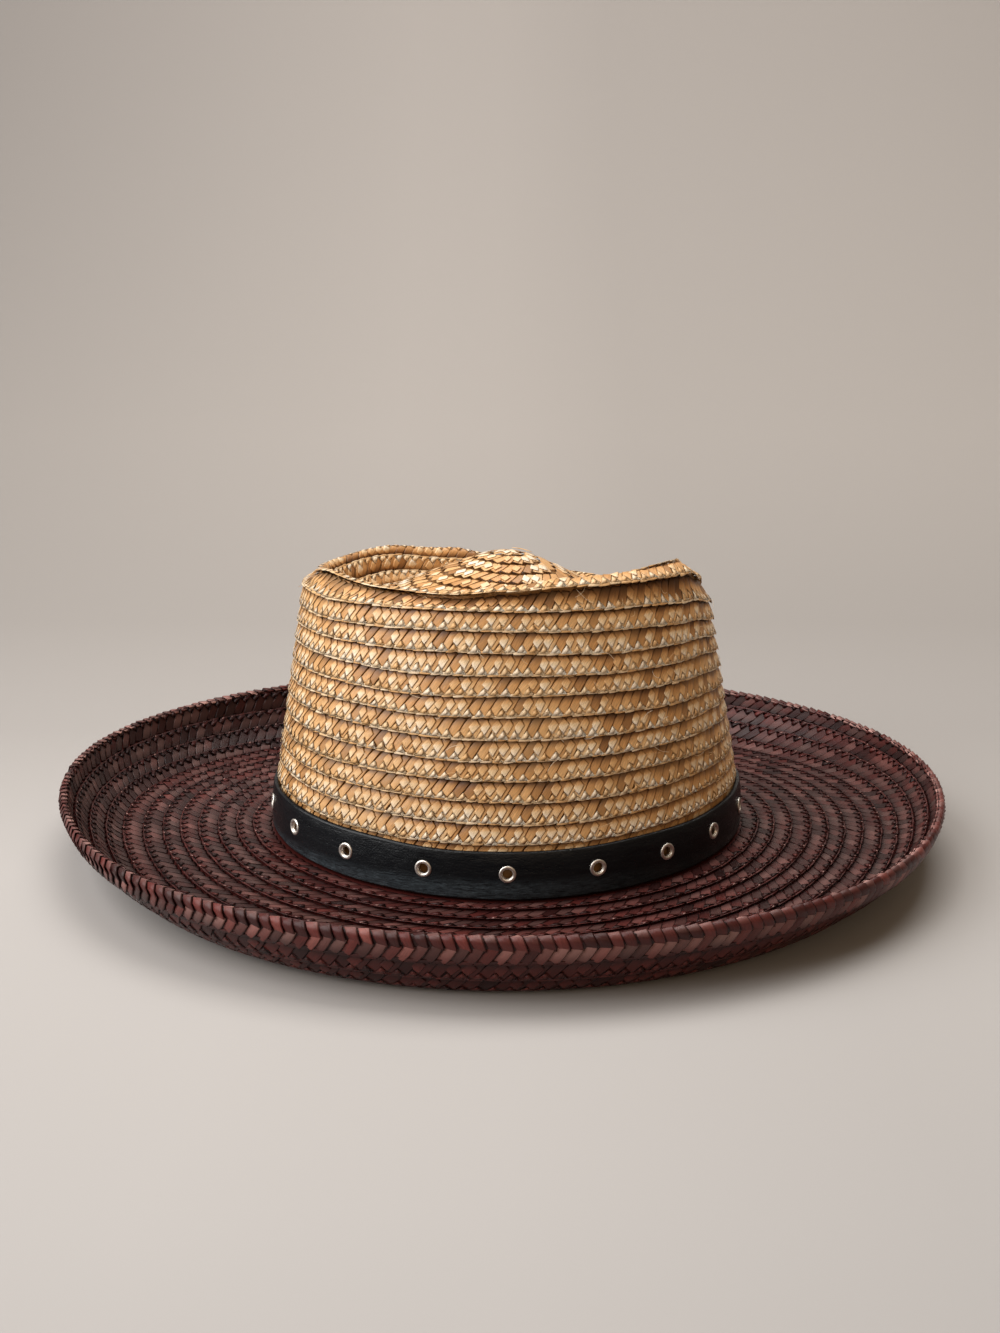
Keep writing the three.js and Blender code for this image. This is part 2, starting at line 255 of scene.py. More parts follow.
def end_share(azimuth):
    """1 at the oval's two ends, 0 on its long sides."""
    return math.cos(math.radians(azimuth)) ** 2


def floor_height(azimuth, share):
    """Height of the brim's top face, out across its floor by a share of the floor's width."""
    end = end_share(azimuth)
    return mix(FLOOR_Z_SIDE, FLOOR_Z_END, end) - FLOOR_DROP * (1.0 - end) * share


def dome_height(azimuth, half):
    slope = mix(DOME_SLOPE_LEFT, DOME_SLOPE_RIGHT, (1.0 + math.cos(math.radians(azimuth))) / 2)
    return APEX_Z - slope * (math.hypot(half, DOME_ROUNDING) - DOME_ROUNDING)


def floor_width(azimuth):
    from_near_side = math.degrees(math.acos(-math.sin(math.radians(azimuth))))
    return FLOOR_WIDTH - END_PULL * math.exp(-(((from_near_side - END_PULL_AT) / END_PULL_SPREAD) ** 2))


def smooth_line(points, per_span, mirrored=False):
    """The points joined by a Catmull-Rom curve; mirrored where the first point lies on the axis."""
    first = np.array([-points[1][0], points[1][1]]) if mirrored else 2 * points[0] - points[1]
    line = np.vstack([first, points, 2 * points[-1] - points[-2]])
    share = np.arange(per_span)[:, None] / per_span
    spans = []
    for a, b, c, d in zip(line, line[1:], line[2:], line[3:]):
        cubic = 2 * b + (c - a) * share + (2 * a - 5 * b + 4 * c - d) * share**2
        spans.append(0.5 * (cubic + (3 * b - a - 3 * c + d) * share**3))
    return np.vstack([*spans, points[-1:]])


def running_length(line):
    steps = np.linalg.norm(np.diff(line, axis=0), axis=1)
    return np.concatenate([[0.0], np.cumsum(steps)])


def crown_line(azimuth, rows):
    """Points of the crown's outside at row numbers: 0 is its middle, CROWN_EDGE the lowest row's edge."""
    crest = table_value(CREST, azimuth, "crest")
    first_row = table_value(CREST, azimuth, "first_row")
    lip = table_value(CREST, azimuth, "lip")
    moat = min(MOAT_Z, crest - MOAT_UNDER_CREST)
    wall = CROWN_BASE_HALF - CROWN_TAPER - CREST_STEP
    points = [(0.0, APEX_Z)]
    points += [(wall - inset, max(dome_height(azimuth, wall - inset), moat)) for inset in DOME_RINGS]
    points += [(wall - inset, mix(crest, moat, share)) for inset, share in MOAT_WALL]
    crest_point = len(points)
    points.append((wall - CREST_INSET, crest))
    points += [(wall - inset, mix(crest, first_row, share)) for inset, share in CREST_ROLL]
    first_point = len(points)
    lowest_row = LOWEST_ROW_Z + LOWEST_ROW_SADDLE * math.cos(math.radians(2 * azimuth))
    for row in range(CROWN_ROWS):
        share = row / (CROWN_ROWS - 1)
        points.append((CROWN_BASE_HALF - CROWN_TAPER * (1 - share), mix(first_row, lowest_row, share)))
    foot = floor_height(azimuth, 0.0) + FIT_GAP
    points.append((CROWN_BASE_HALF - FOOT_FLARE, foot + BAND_HEIGHT - BAND_COVER))
    points.append((CROWN_BASE_HALF + FOOT_FLARE, foot))
    per_span = 6
    line = smooth_line(np.array(points), per_span, mirrored=True)
    length = running_length(line)
    span = slice(crest_point * per_span, first_point * per_span + 1)
    lip_at = np.interp(-mix(crest, first_row, lip), -line[span, 1], length[span])
    marks = [length[(first_point + row) * per_span] for row in range(CROWN_ROWS + 1)]
    knots = [*np.linspace(0.0, lip_at, TOP_ROWS + 1), *marks, length[-1]]
    numbers = [*range(CROWN_EDGE + 1), CROWN_EDGE + 0.5, CROWN_LAST]
    where = np.interp(rows, numbers, knots)
    half = np.interp(where, length, line[:, 0])
    angle = math.radians(azimuth)
    x = CROWN_CENTRE_X + half * math.cos(angle)
    return np.stack([x, half * OVAL * math.sin(angle), np.interp(where, length, line[:, 1])], axis=1)


def brim_line(azimuth, rows):
    """Points of the brim's top face at row numbers: 0 is at the band's outer face, BRIM_ROWS the rim."""
    end = end_share(azimuth)
    offset = floor_width(azimuth)
    z = floor_height(azimuth, 1.0)
    points = [(BRIM_INNER, floor_height(azimuth, 0.0)), (0.0, floor_height(azimuth, 0.0))]
    points += [(offset / 2, floor_height(azimuth, 0.5)), (offset, z)]
    width = mix(CURL_WIDTH, CURL_END_WIDTH, end)
    lean = EDGE_LEAN * math.cos(math.radians(azimuth)) / len(CURL_ROWS)
    for row in CURL_ROWS:
        angle = math.radians(mix(row["slope"], row["end_slope"], end))
        offset += width * math.cos(angle)
        z += width * math.sin(angle) + lean
        points.append((offset, z))
    per_span = 8
    line = smooth_line(np.array(points), per_span)
    length = running_length(line)
    floor = np.linspace(length[per_span], length[3 * per_span], FLOOR_ROWS + 1)
    curl = [length[(4 + i) * per_span] for i in range(len(CURL_ROWS))]
    where = np.interp(rows, [-BRIM_HIDDEN, *range(BRIM_ROWS + 1)], [0.0, *floor, *curl])
    out = np.interp(where, length, line[:, 0])
    angle = math.radians(azimuth)
    centre = CROWN_CENTRE_X * (1.0 - np.clip(out / FLOOR_WIDTH, 0.0, 1.0))
    x = centre + (BAND_HALF + out) * math.cos(angle)
    z = np.interp(where, length, line[:, 1])
    return np.stack([x, (BAND_HALF_DEPTH + out) * math.sin(angle), z], axis=1)


class Skin:
    """A surface round Z, by azimuth and row number. Its outer side is where cross(rows, azimuth) points."""

    def __init__(self, line_at, first_row, last_row, offset=0.0):
        self.first = first_row
        self.count = int((last_row - first_row) * STEPS_PER_ROW) + 1
        self.step = (last_row - first_row) / (self.count - 1)
        rows = np.linspace(first_row, last_row, self.count)
        azimuths = np.arange(AZIMUTHS) * 360.0 / AZIMUTHS - 180.0
        grid = np.array([line_at(azimuth, rows) for azimuth in azimuths])
        along = np.roll(grid, -1, axis=0) - np.roll(grid, 1, axis=0)
        normal = np.cross(np.gradient(grid, axis=1), along)
        length = np.linalg.norm(normal, axis=2, keepdims=True)
        up = np.array([0.0, 0.0, 1.0])
        self.normal = np.where(length > NO_LENGTH, normal / np.maximum(length, NO_LENGTH), up)
        self.grid = grid + self.normal * offset

    def _sample(self, values, turns, rows):
        a = (turns % 1.0) * AZIMUTHS
        q = np.clip((rows - self.first) / self.step, 0.0, self.count - 1.001)
        a0 = np.floor(a).astype(int)
        q0 = np.floor(q).astype(int)
        fa = (a - a0)[..., None]
        fq = (q - q0)[..., None]
        a0 %= AZIMUTHS
        a1 = (a0 + 1) % AZIMUTHS
        low = values[a0, q0] * (1 - fa) + values[a1, q0] * fa
        high = values[a0, q0 + 1] * (1 - fa) + values[a1, q0 + 1] * fa
        return low * (1 - fq) + high * fq

    def at(self, turns, rows, lift=0.0):
        """Points at a number of turns round Z from -X, at a row, lifted off the surface."""
        place = self._sample(self.grid, turns, rows)
        normal = self._sample(self.normal, turns, rows)
        normal /= np.linalg.norm(normal, axis=-1, keepdims=True)
        return place + normal * np.asarray(lift)[..., None]


def crown_skin():
    return Skin(crown_line, 0.0, CROWN_LAST)


def crown_inside_skin():
    """The crown's inside, with its rows counted from the foot up."""
    depth = STRAW_WALL + 0.3
    return Skin(lambda azimuth, rows: crown_line(azimuth, CROWN_LAST - rows), 0.0, CROWN_LAST, depth)


def brim_skin():
    return Skin(brim_line, -BRIM_HIDDEN, BRIM_ROWS)


def brim_under_skin():
    """The brim's underside, with its rows counted from the rim inwards."""
    last = BRIM_ROWS + BRIM_HIDDEN
    return Skin(lambda azimuth, rows: brim_line(azimuth, BRIM_ROWS - rows), 0.0, last, BRIM_WALL - 0.2)


def rim_skin(top, under):
    """Round the rim: row 0 on the brim's top face, row 1 at the outermost row's other edge underneath."""
    azimuths = np.arange(AZIMUTHS) / AZIMUTHS
    inner = top.at(azimuths, np.full(AZIMUTHS, BRIM_ROWS - RIM_OUTWARDS))
    edge = top.at(azimuths, np.full(AZIMUTHS, BRIM_ROWS - JUST_INSIDE))
    out = edge - inner
    out /= np.linalg.norm(out, axis=1, keepdims=True)
    down = under.at(azimuths, np.full(AZIMUTHS, 0.0), 0.0) - edge
    down /= np.linalg.norm(down, axis=1, keepdims=True)
    profile = [top.at(azimuths, np.full(AZIMUTHS, BRIM_ROWS - RIM_FROM))]
    profile += [edge + down * point["down"] + out * point["out"] for point in RIM_EDGE]
    for point in RIM_UNDER:
        profile.append(under.at(azimuths, np.full(AZIMUTHS, point["row"]), np.full(AZIMUTHS, point["lift"])))
    grid = np.stack(profile, axis=1)

    def line_at(azimuth, rows):
        points = smooth_line(grid[int(round((azimuth + 180.0) / 360.0 * AZIMUTHS)) % AZIMUTHS], 6)
        length = running_length(points)
        where = rows * length[-1]
        return np.stack([np.interp(where, length, points[:, axis]) for axis in range(3)], axis=1)

    return Skin(line_at, 0.0, 1.0 + NO_LENGTH)


def row_edge(turns):
    """The row number of a spiral's outer edge: level over the near half, out by a row over the far half."""
    whole = np.floor(turns)
    share = np.clip((turns - whole) * 2.0 - 1.0, 0.0, 1.0)
    wobble = sum(height * np.sin(turns * waves + start) for height, waves, start in EDGE_WOBBLE)
    return whole + share * share * (3.0 - 2.0 * share) + wobble


class Braid:
    """Where the straws of one spiral of braid lie on a skin, one place for each step of the plait.

    It keeps within the two rows given as limits, and lies no lower on the skin than deepest.
    """

    def __init__(self, skin, first, last, pitch, deepest, clockwise=False, limits=(0.0, 99.0), rise=None):
        self.skin = skin
        self.deepest = deepest
        self.clockwise = clockwise
        self.limits = limits
        self.rise = rise
        self.pitch = pitch
        turns = np.linspace(first, last, int((last - first) * 2 * AZIMUTHS) + 1)
        path = skin.at(self.azimuth(turns), np.clip(self.edge(turns) - PATH_FROM_EDGE, *limits))
        length = running_length(path)
        self.count = int(length[-1] / pitch)
        steps = (np.arange(self.count) + 0.5) * pitch
        self.turns = np.interp(steps, length, turns)
        self.per_mm = np.interp(steps, length, np.gradient(turns, length))

    def azimuth(self, turns):
        return -turns if self.clockwise else turns

    def edge(self, turns):
        return row_edge(turns + 0.5) if self.clockwise else row_edge(turns)

    def place(self, which, along, across, ground, relief):
        """Points of straw shapes: along in steps of the plait, across in rows from the tucked edge.

        ground is how high the braid lies, which is kept above the wall under it, and relief stands on that.
        """
        sign = -1.0 if self.clockwise else 1.0
        turns = self.turns[which][:, None] + sign * along * self.pitch * self.per_mm[which][:, None]
        inner = np.maximum(self.edge(turns - 1.0), self.limits[0])
        rows = inner + across * (np.minimum(self.edge(turns), self.limits[1]) - inner)
        if self.rise is not None:
            ground = ground + self.rise(self.azimuth(turns), inner, across)
        return self.skin.at(self.azimuth(turns), rows, np.maximum(ground, self.deepest) + relief)


def pillow(columns, rows):
    """A flat shape: its corners in -1..1, its upper faces, and the faces that close its back."""
    s, t = np.meshgrid(SPREAD[columns], SPREAD[rows])
    index = np.arange(columns * rows).reshape(rows, columns)
    quads = np.stack([index[:-1, :-1], index[:-1, 1:], index[1:, 1:], index[1:, :-1]], axis=-1)
    backs = []
    for near, far in zip(index[1:-2], index[2:-1]):
        backs.append([near[0], far[0], far[-1], near[-1]])
    backs.append([*index[0, ::-1], index[1, 0], index[1, -1]])
    backs.append([*index[-1], index[-2, -1], index[-2, 0]])
    return s.ravel(), t.ravel(), quads.reshape(-1, 4), backs


class Straws:
    """Gathers straw shapes as one mesh, with each straw's tone and the place along it for its grain."""

    def __init__(self):
        self.points = []
        self.quads = []
        self.backs = []
        self.tones = []
        self.worn = []
        self.grain = []
        self.count = 0

    def add(self, points, s, t, quads, backs, tone, length, worn=0.0):
        shapes, corners = points.shape[:2]
        start = self.count + np.arange(shapes)[:, None, None] * corners
        self.points.append(points.reshape(-1, 3))
        self.quads.append((quads[None] + start).reshape(-1, 4))
        self.backs += [np.array(back)[None] + start[:, 0] for back in backs]
        self.tones.append((np.zeros((shapes, corners)) + tone).ravel())
        # worn: how far each point is painted pale as a highlight
        self.worn.append((np.zeros((shapes, corners)) + worn).ravel())
        offset = (np.arange(shapes) * 7.31 % 97.0)[:, None]
        along = s[None] * 0.5 * length + offset
        across = t[None] * 0.5 + offset * 0.37
        self.grain.append(np.stack([along, across], axis=-1).reshape(-1, 2))
        self.count += shapes * corners

    def object(self, name, material):
        mesh = bpy.data.meshes.new(name)
        points = np.concatenate(self.points) * MM
        faces = [*self.quads, *self.backs]
        loops = np.concatenate([face.ravel() for face in faces])
        sizes = np.concatenate([np.full(len(face), face.shape[1]) for face in faces])
        mesh.vertices.add(len(points))
        mesh.vertices.foreach_set("co", points.astype(np.float32).ravel())
        mesh.loops.add(len(loops))
        mesh.loops.foreach_set("vertex_index", loops.astype(np.int32))
        mesh.polygons.add(len(sizes))
        starts = np.concatenate([[0], np.cumsum(sizes)[:-1]])
        mesh.polygons.foreach_set("loop_start", starts.astype(np.int32))
        mesh.polygons.foreach_set("loop_total", sizes.astype(np.int32))
        mesh.update(calc_edges=True)
        for label, values in (("tone", self.tones), ("worn", self.worn)):
            attribute = mesh.attributes.new(label, "FLOAT", "POINT")
            attribute.data.foreach_set("value", np.concatenate(values).astype(np.float32))
        grain = mesh.uv_layers.new(name="grain")
        grain.data.foreach_set("uv", np.concatenate(self.grain)[loops].astype(np.float32).ravel())
        mesh.shade_smooth()
        mesh.materials.append(material)
        piece = bpy.data.objects.new(name, mesh)
        bpy.context.scene.collection.objects.link(piece)
        return piece


# The straws that show in one step of the plait. Corners are (step, row share), the first two at one end of
# the row share and the last two at the other. Grid is the straw's columns and rows of points. Base is how
# high it lies, relief how far its middle bulges, tip how far one long edge stands over the other, and taper
# how much its ends narrow. It lies up the row, or along it.
SHAPES = {
    "slant": {
        "corners": ((-0.08, 0.66), (0.72, 1.00), (1.80, 0.08), (0.98, -0.02)),
        "grid": (4, 5), "relief": 0.34, "tip": 0.20, "taper": 0.04, "base": 0.10, "lies": "up",
    },
    "diamond": {
        "corners": ((0.02, 0.46), (0.50, 0.80), (1.08, 0.36), (0.62, 0.02)),
        "grid": (4, 4), "relief": 0.34, "tip": 0.10, "taper": 0.04, "base": 0.40, "lies": "up",
    },
    "wedge": {
        "corners": ((-0.40, 0.97), (0.66, 0.98), (0.22, 0.62), (0.10, 0.61)),
        "grid": (3, 3), "relief": 0.14, "tip": 0.0, "taper": 0.0, "base": 0.46, "lies": "up",
    },
    "bead": {
        "corners": ((-0.62, 1.07), (0.46, 1.04), (0.56, 0.86), (-0.54, 0.90)),
        "grid": (5, 4), "relief": 0.32, "tip": 0.0, "taper": 0.30, "base": 0.22, "lies": "along",
    },
    "upper arm": {
        "corners": ((0.56, 0.60), (1.66, 0.62), (0.92, 0.02), (-0.16, 0.02)),
        "grid": (4, 6), "relief": 0.66, "tip": 0.42, "taper": 0.22, "base": 0.24, "lies": "up",
    },
    "lower arm": {
        "corners": ((-0.30, 0.93), (0.70, 0.99), (1.66, 0.54), (0.62, 0.50)),
        "grid": (4, 5), "relief": 0.66, "tip": 0.42, "taper": 0.22, "base": 0.14, "lies": "up",
    },
    "turn": {
        "corners": ((-0.16, 1.03), (0.14, 1.02), (0.12, 0.89), (-0.14, 0.90)),
        "grid": (3, 3), "relief": 0.34, "tip": 0.0, "taper": 0.0, "base": 0.42, "lies": "along",
    },
}

# Where a straw's points lie between its two edges, for each count of points
SPREAD = {
    3: (-1.0, 0.0, 1.0),
    4: (-1.0, -0.74, 0.74, 1.0),
    5: (-1.0, -0.80, 0.0, 0.80, 1.0),
    6: (-1.0, -0.82, -0.28, 0.28, 0.82, 1.0),
}


def lay(straws, braid, shape, tones, seed, tilt=0.0, groove=0.0, which=None, size=1.0, worn=None,
        dark=0.0, outline=0.0, seam=SEAM_WIDTH):
    """Lays one straw shape at each step of a braid, each a little different from the next.

    tilt is how far the row drops towards its tucked edge, and groove how much more it drops beside it. worn
    gives the row share at which the straws are painted pale as highlights, how wide that is, and how much.
    dark is how much painted shade darkens them where they are tucked under the next row, and outline is the
    same painted shade along their own edges.
    """
    form = SHAPES[shape]
    if which is None:
        which = np.arange(braid.count)
    s, t, quads, backs = pillow(*form["grid"])
    random = np.random.default_rng(seed)
    count = len(which)
    jitter = random.uniform(-1, 1, (5, count, 1))
    lengthways, widthways = (s, t) if form["lies"] == "along" else (t, s)
    narrow = (1 - form["taper"] * np.abs(lengthways) ** 3) * (1 - WIDTH_JITTER + WIDTH_JITTER * jitter[0])
    u = (s[None] * (narrow if form["lies"] == "up" else 1.0) + 1) / 2
    w = (t[None] * (narrow if form["lies"] == "along" else 1.0) + 1) / 2
    strays = random.uniform(-1, 1, (4, count, 1, 2)) * CORNER_JITTER
    corners = np.array(form["corners"])[:, None, None] + strays
    low = corners[0] + (corners[1] - corners[0]) * u[..., None]
    high = corners[3] + (corners[2] - corners[3]) * u[..., None]
    spot = low + (high - low) * w[..., None]
    along = spot[..., 0] + PLACE_JITTER[0] * jitter[1]
    across = spot[..., 1] + PLACE_JITTER[1] * jitter[2]
    bulge = (1 - np.abs(widthways) ** 3) * (1 - np.abs(lengthways) ** 5)
    slope, groove, size, dark, seam = (np.broadcast_to(each, braid.count)[which][:, None]
                                       for each in (tilt, groove, size, dark, seam))
    ground = -slope * (1 - across) - groove * np.exp(-((across / GROOVE_WIDTH) ** 2))
    relief = form["base"] + form["relief"] * size * (1 + RELIEF_JITTER * jitter[3]) * bulge[None]
    relief = relief + (form["tip"] + TIP_JITTER * jitter[4]) * size * widthways
    points = braid.place(which, along, across, ground, relief)
    # Painted highlights: the worn band across the row is paled by a random amount for each straw.
    pale = 0.0
    if worn is not None:
        middle, width, strength = worn
        near = np.exp(-(((across - middle) / width) ** 2))
        pale = strength * near * random.uniform(0, 1, (count, 1)) ** 1.5
    # Painted shade: the straw is darkened where it is tucked under the next row, and along its own edges.
    tucked = np.exp(-((np.maximum(across, 0.0) / seam) ** 2))
    shade = 1.0 - dark * tucked
    shade = shade * (1.0 - outline * np.abs(widthways) ** 8)
    shade = tones[which][:, None] * shade
    straws.add(points, lengthways, widthways, quads, backs, shade, GRAIN_LENGTH, pale)


def lay_plait(straws, braid, tones, seed, **manner):
    """The straws across the middle of the plait: slanting strips, crossed by the pale ones as diamonds."""
    pale = tones > PALE_TONE
    # outline paints shade along the slants' edges.
    lay(straws, braid, "slant", np.where(pale, tones - 0.25, tones), seed, outline=0.4, **manner)
    lay(straws, braid, "diamond", tones, seed + 100, which=np.flatnonzero(pale), **manner)


def straw_tones(count, seed, pale, dark):
    """A tone for each step of the plait: pale and dark straws in turn, each straw replaced now and then."""
    random = np.random.default_rng(seed)
    step = np.arange(count)
    straw = step % STRAWS
    block = (step + straw * STRAW_RUN // 3) // STRAW_RUN
    own = np.where(straw < PALE_STRAWS, pale, dark)
    table = random.uniform(-1, 1, (int(block.max()) + 1, STRAWS))
    swapped = random.uniform(0, 1, table.shape) < SWAPPED_SHARE
    tone = np.where(swapped[block, straw], pale + dark - own, own)
    tone = tone + TONE_SPREAD * table[block, straw] + TONE_JITTER * random.uniform(-1, 1, count)
    return np.clip(tone, 0.02, 0.98)


def link(piece):
    bpy.context.scene.collection.objects.link(piece)
    return piece


def ring_mesh(name, loops, material):
    """A closed mesh through one loop of points for each azimuth; points that meet are merged."""
    count, size = loops.shape[:2]
    index = np.arange(count * size).reshape(count, size)
    after = np.roll(index, -1, axis=0)
    quads = np.stack([index, np.roll(index, -1, axis=1), np.roll(after, -1, axis=1), after], axis=-1)
    mesh = bpy.data.meshes.new(name)
    mesh.from_pydata((loops.reshape(-1, 3) * MM).tolist(), [], quads.reshape(-1, 4).tolist())
    form = bmesh.new()
    form.from_mesh(mesh)
    bmesh.ops.remove_doubles(form, verts=form.verts, dist=MERGE_DISTANCE)
    bmesh.ops.dissolve_degenerate(form, edges=form.edges, dist=MERGE_DISTANCE)
    bmesh.ops.recalc_face_normals(form, faces=form.faces)
    form.to_mesh(mesh)
    form.free()
    mesh.shade_smooth()
    mesh.materials.append(material)
    return link(bpy.data.objects.new(name, mesh))


def wall(name, skin, first, last, depths, turns, material, tone, per_row=3):
    """A thin closed wall that follows a skin, under the straws, and stays just clear of the floor."""
    outside, inside = depths
    rows = np.linspace(first, last, int((last - first) * per_row) + 1)
    azimuth = (np.arange(turns) / turns)[:, None] + np.zeros(len(rows))
    grid = rows[None] + np.zeros((turns, 1))
    outer = skin.at(azimuth, grid, np.full(grid.shape, -outside))
    inner = skin.at(azimuth, grid, np.full(grid.shape, -inside))
    if first == 0.0 and skin.first == 0.0:
        outer[:, 0] = outer[:, 0].mean(axis=0)
        inner[:, 0] = inner[:, 0].mean(axis=0)
    loops = np.concatenate([outer, inner[:, ::-1]], axis=1)
    loops[..., 2] = np.maximum(loops[..., 2], WALL_CLEAR)
    piece = ring_mesh(name, loops, material)
    shade = piece.data.attributes.new("tone", "FLOAT", "POINT")
    shade.data.foreach_set("value", np.full(len(piece.data.vertices), tone, dtype=np.float32))
    return piece


# Materials

def socket(tree, kind, name, inputs=None, **settings):
    """A node with its settings and inputs set; an input may be a value or another node's output."""
    node = tree.nodes.new(kind)
    node.label = name
    for key, value in settings.items():
        setattr(node, key, value)
    for key, value in (inputs or {}).items():
        if isinstance(value, bpy.types.NodeSocket):
            tree.links.new(value, node.inputs[key])
        else:
            node.inputs[key].default_value = value
    return node


def ramp(tree, name, factor, stops):
    node = socket(tree, "ShaderNodeValToRGB", name, {"Fac": factor})
    elements = node.color_ramp.elements
    while len(elements) < len(stops):
        elements.new(1.0)
    for element, (place, colour) in zip(elements, stops):
        element.position = place
        element.color = (*colour, 1.0)
    return node.outputs["Color"]


def noise(tree, name, place, scale, detail, roughness=0.5, distortion=0.0):
    inputs = {"Vector": place, "Scale": scale, "Detail": detail, "Roughness": roughness}
    return socket(tree, "ShaderNodeTexNoise", name, {**inputs, "Distortion": distortion}).outputs["Fac"]


def stretched(tree, name, place, scale):
    return socket(tree, "ShaderNodeMapping", name, {"Vector": place, "Scale": scale}).outputs["Vector"]


def ranged(tree, name, value, source, target=(0.0, 1.0), **settings):
    """A value brought from one range to another."""
    inputs = {"Value": value, "From Min": source[0], "From Max": source[1]}
    inputs.update({"To Min": target[0], "To Max": target[1]})
    return socket(tree, "ShaderNodeMapRange", name, inputs, **settings).outputs["Result"]


def product(tree, name, first, second):
    return socket(tree, "ShaderNodeMath", name, {0: first, 1: second}, operation="MULTIPLY").outputs["Value"]


def object_place(tree):
    return socket(tree, "ShaderNodeTexCoord", "place").outputs["Object"]


def straw_grain_group():
    """Shared by both straws: fine lines along each straw, and small brown flecks."""
    group = bpy.data.node_groups.new("straw grain", "ShaderNodeTree")
    place = socket(group, "ShaderNodeUVMap", "along the straw", uv_map="grain").outputs["UV"]
    lines = noise(group, "fibres", stretched(group, "fibres", place, (0.35, 9.0, 1.0)), 1.0, 3.0, 0.6)
    spots = noise(group, "flecks", stretched(group, "flecks", place, (1.2, 3.5, 1.0)), 1.6, 2.0)
    flecks = ranged(group, "flecks", spots, (0.60, 0.78))
    end = group.nodes.new("NodeGroupOutput")
    for label, value in (("Lines", lines), ("Flecks", flecks)):
        group.interface.new_socket(label, in_out="OUTPUT", socket_type="NodeSocketFloat")
        group.links.new(value, end.inputs[label])
    return group


def mixed(tree, name, factor, first, second, blend="MIX"):
    """The colour mixer, whose colour sockets go by their place because each data type has its own set."""
    node = tree.nodes.new("ShaderNodeMix")
    node.label = name
    node.data_type = "RGBA"
    node.blend_type = blend
    for index, value in ((0, factor), (6, first), (7, second)):
        if isinstance(value, bpy.types.NodeSocket):
            tree.links.new(value, node.inputs[index])
        elif index:
            node.inputs[index].default_value = (*value, 1.0)
        else:
            node.inputs[index].default_value = value
    return node.outputs[2]


def finished(tree, **inputs):
    """Ends a material in one Principled shader."""
    shader = tree.nodes.new("ShaderNodeBsdfPrincipled")
    for key, value in inputs.items():
        slot = shader.inputs[key.replace("_", " ")]
        if isinstance(value, bpy.types.NodeSocket):
            tree.links.new(value, slot)
        else:
            slot.default_value = value
    end = tree.nodes.new("ShaderNodeOutputMaterial")
    tree.links.new(shader.outputs["BSDF"], end.inputs["Surface"])


def bumped(tree, name, height, distance, strength, normal=None):
    inputs = {"Height": height, "Distance": distance, "Strength": strength}
    if normal is not None:
        inputs["Normal"] = normal
    return socket(tree, "ShaderNodeBump", name, inputs).outputs["Normal"]


def new_material(name):
    material = bpy.data.materials.new(name)
    material.use_nodes = True
    material.node_tree.nodes.clear()
    return material, material.node_tree


def straw_material(look, grain):
    """Plaited straw: a tone for each straw, lines and flecks along it, faded or stained patches, and pale
    painted highlights.
    """
    material, tree = new_material(look["name"])
    fibres = tree.nodes.new("ShaderNodeGroup")
    fibres.node_tree = grain
    lines = fibres.outputs["Lines"]
    tone = socket(tree, "ShaderNodeAttribute", "tone of each straw", attribute_name="tone")
    colour = ramp(tree, "straw colours", tone.outputs["Fac"], look["tones"])
    shade = ranged(tree, "light and dark lines", lines, (0.3, 0.7), (0.66, 1.20))
    lined = socket(tree, "ShaderNodeVectorMath", "lined", {0: colour, "Scale": shade}, operation="SCALE")
    fleck_share = product(tree, "fleck strength", fibres.outputs["Flecks"], 0.5)
    flecked = mixed(tree, "flecked", fleck_share, lined.outputs["Vector"], look["flecks"])
    patches = noise(tree, "patches", object_place(tree), 22.0, 3.0, 0.55)
    patch = ranged(tree, "patches", patches, (0.42, 0.72), (0.0, look["patch_share"]))
    aged = mixed(tree, "aged", patch, flecked, look["patches"])
    # Painted highlights: the worn attribute mixes in the pale worn colour.
    painted_highlight = socket(tree, "ShaderNodeAttribute", "painted highlight on each straw", attribute_name="worn")
    aged = mixed(tree, "worn", painted_highlight.outputs["Fac"], aged, look["worn"])
    polish = ranged(tree, "polish", lines, (0.25, 0.75), (look["smooth"], look["rough"]))
    normal = bumped(tree, "fibre relief", lines, 0.0002, 0.5)
    finished(tree, Base_Color=aged, Roughness=polish, Normal=normal,
             Coat_Weight=look["coat"], Coat_Roughness=0.25, Specular_IOR_Level=look["shine"])
    return material


NATURAL_STRAW = {
    "name": "natural straw",
    "tones": (
        (0.0, (0.050, 0.018, 0.005)),
        (0.14, (0.25, 0.105, 0.030)),
        (0.35, (0.62, 0.310, 0.105)),
        (0.6, (0.80, 0.475, 0.205)),
        (0.82, (0.93, 0.70, 0.43)),
        (1.0, (0.98, 0.87, 0.71)),
    ),
    "flecks": (0.27, 0.10, 0.03), "patches": (0.62, 0.37, 0.15), "patch_share": 0.35,
    # worn is the colour of the pale painted highlights
    "worn": (0.93, 0.82, 0.64), "smooth": 0.38, "rough": 0.54, "coat": 0.10, "shine": 0.42,
}
DYED_STRAW = {
    "name": "dyed straw",
    "tones": (
        (0.0, (0.007, 0.0015, 0.0015)),
        (0.2, (0.022, 0.0042, 0.004)),
        (0.5, (0.068, 0.0115, 0.0095)),
        (0.8, (0.145, 0.029, 0.0235)),
        (1.0, (0.32, 0.115, 0.092)),
    ),
    "flecks": (0.02, 0.006, 0.006), "patches": (0.042, 0.0085, 0.007), "patch_share": 0.5,
    # worn is the colour of the pale painted highlights
    "worn": (0.58, 0.33, 0.29), "smooth": 0.32, "rough": 0.50, "coat": 0.0, "shine": 0.25,
}


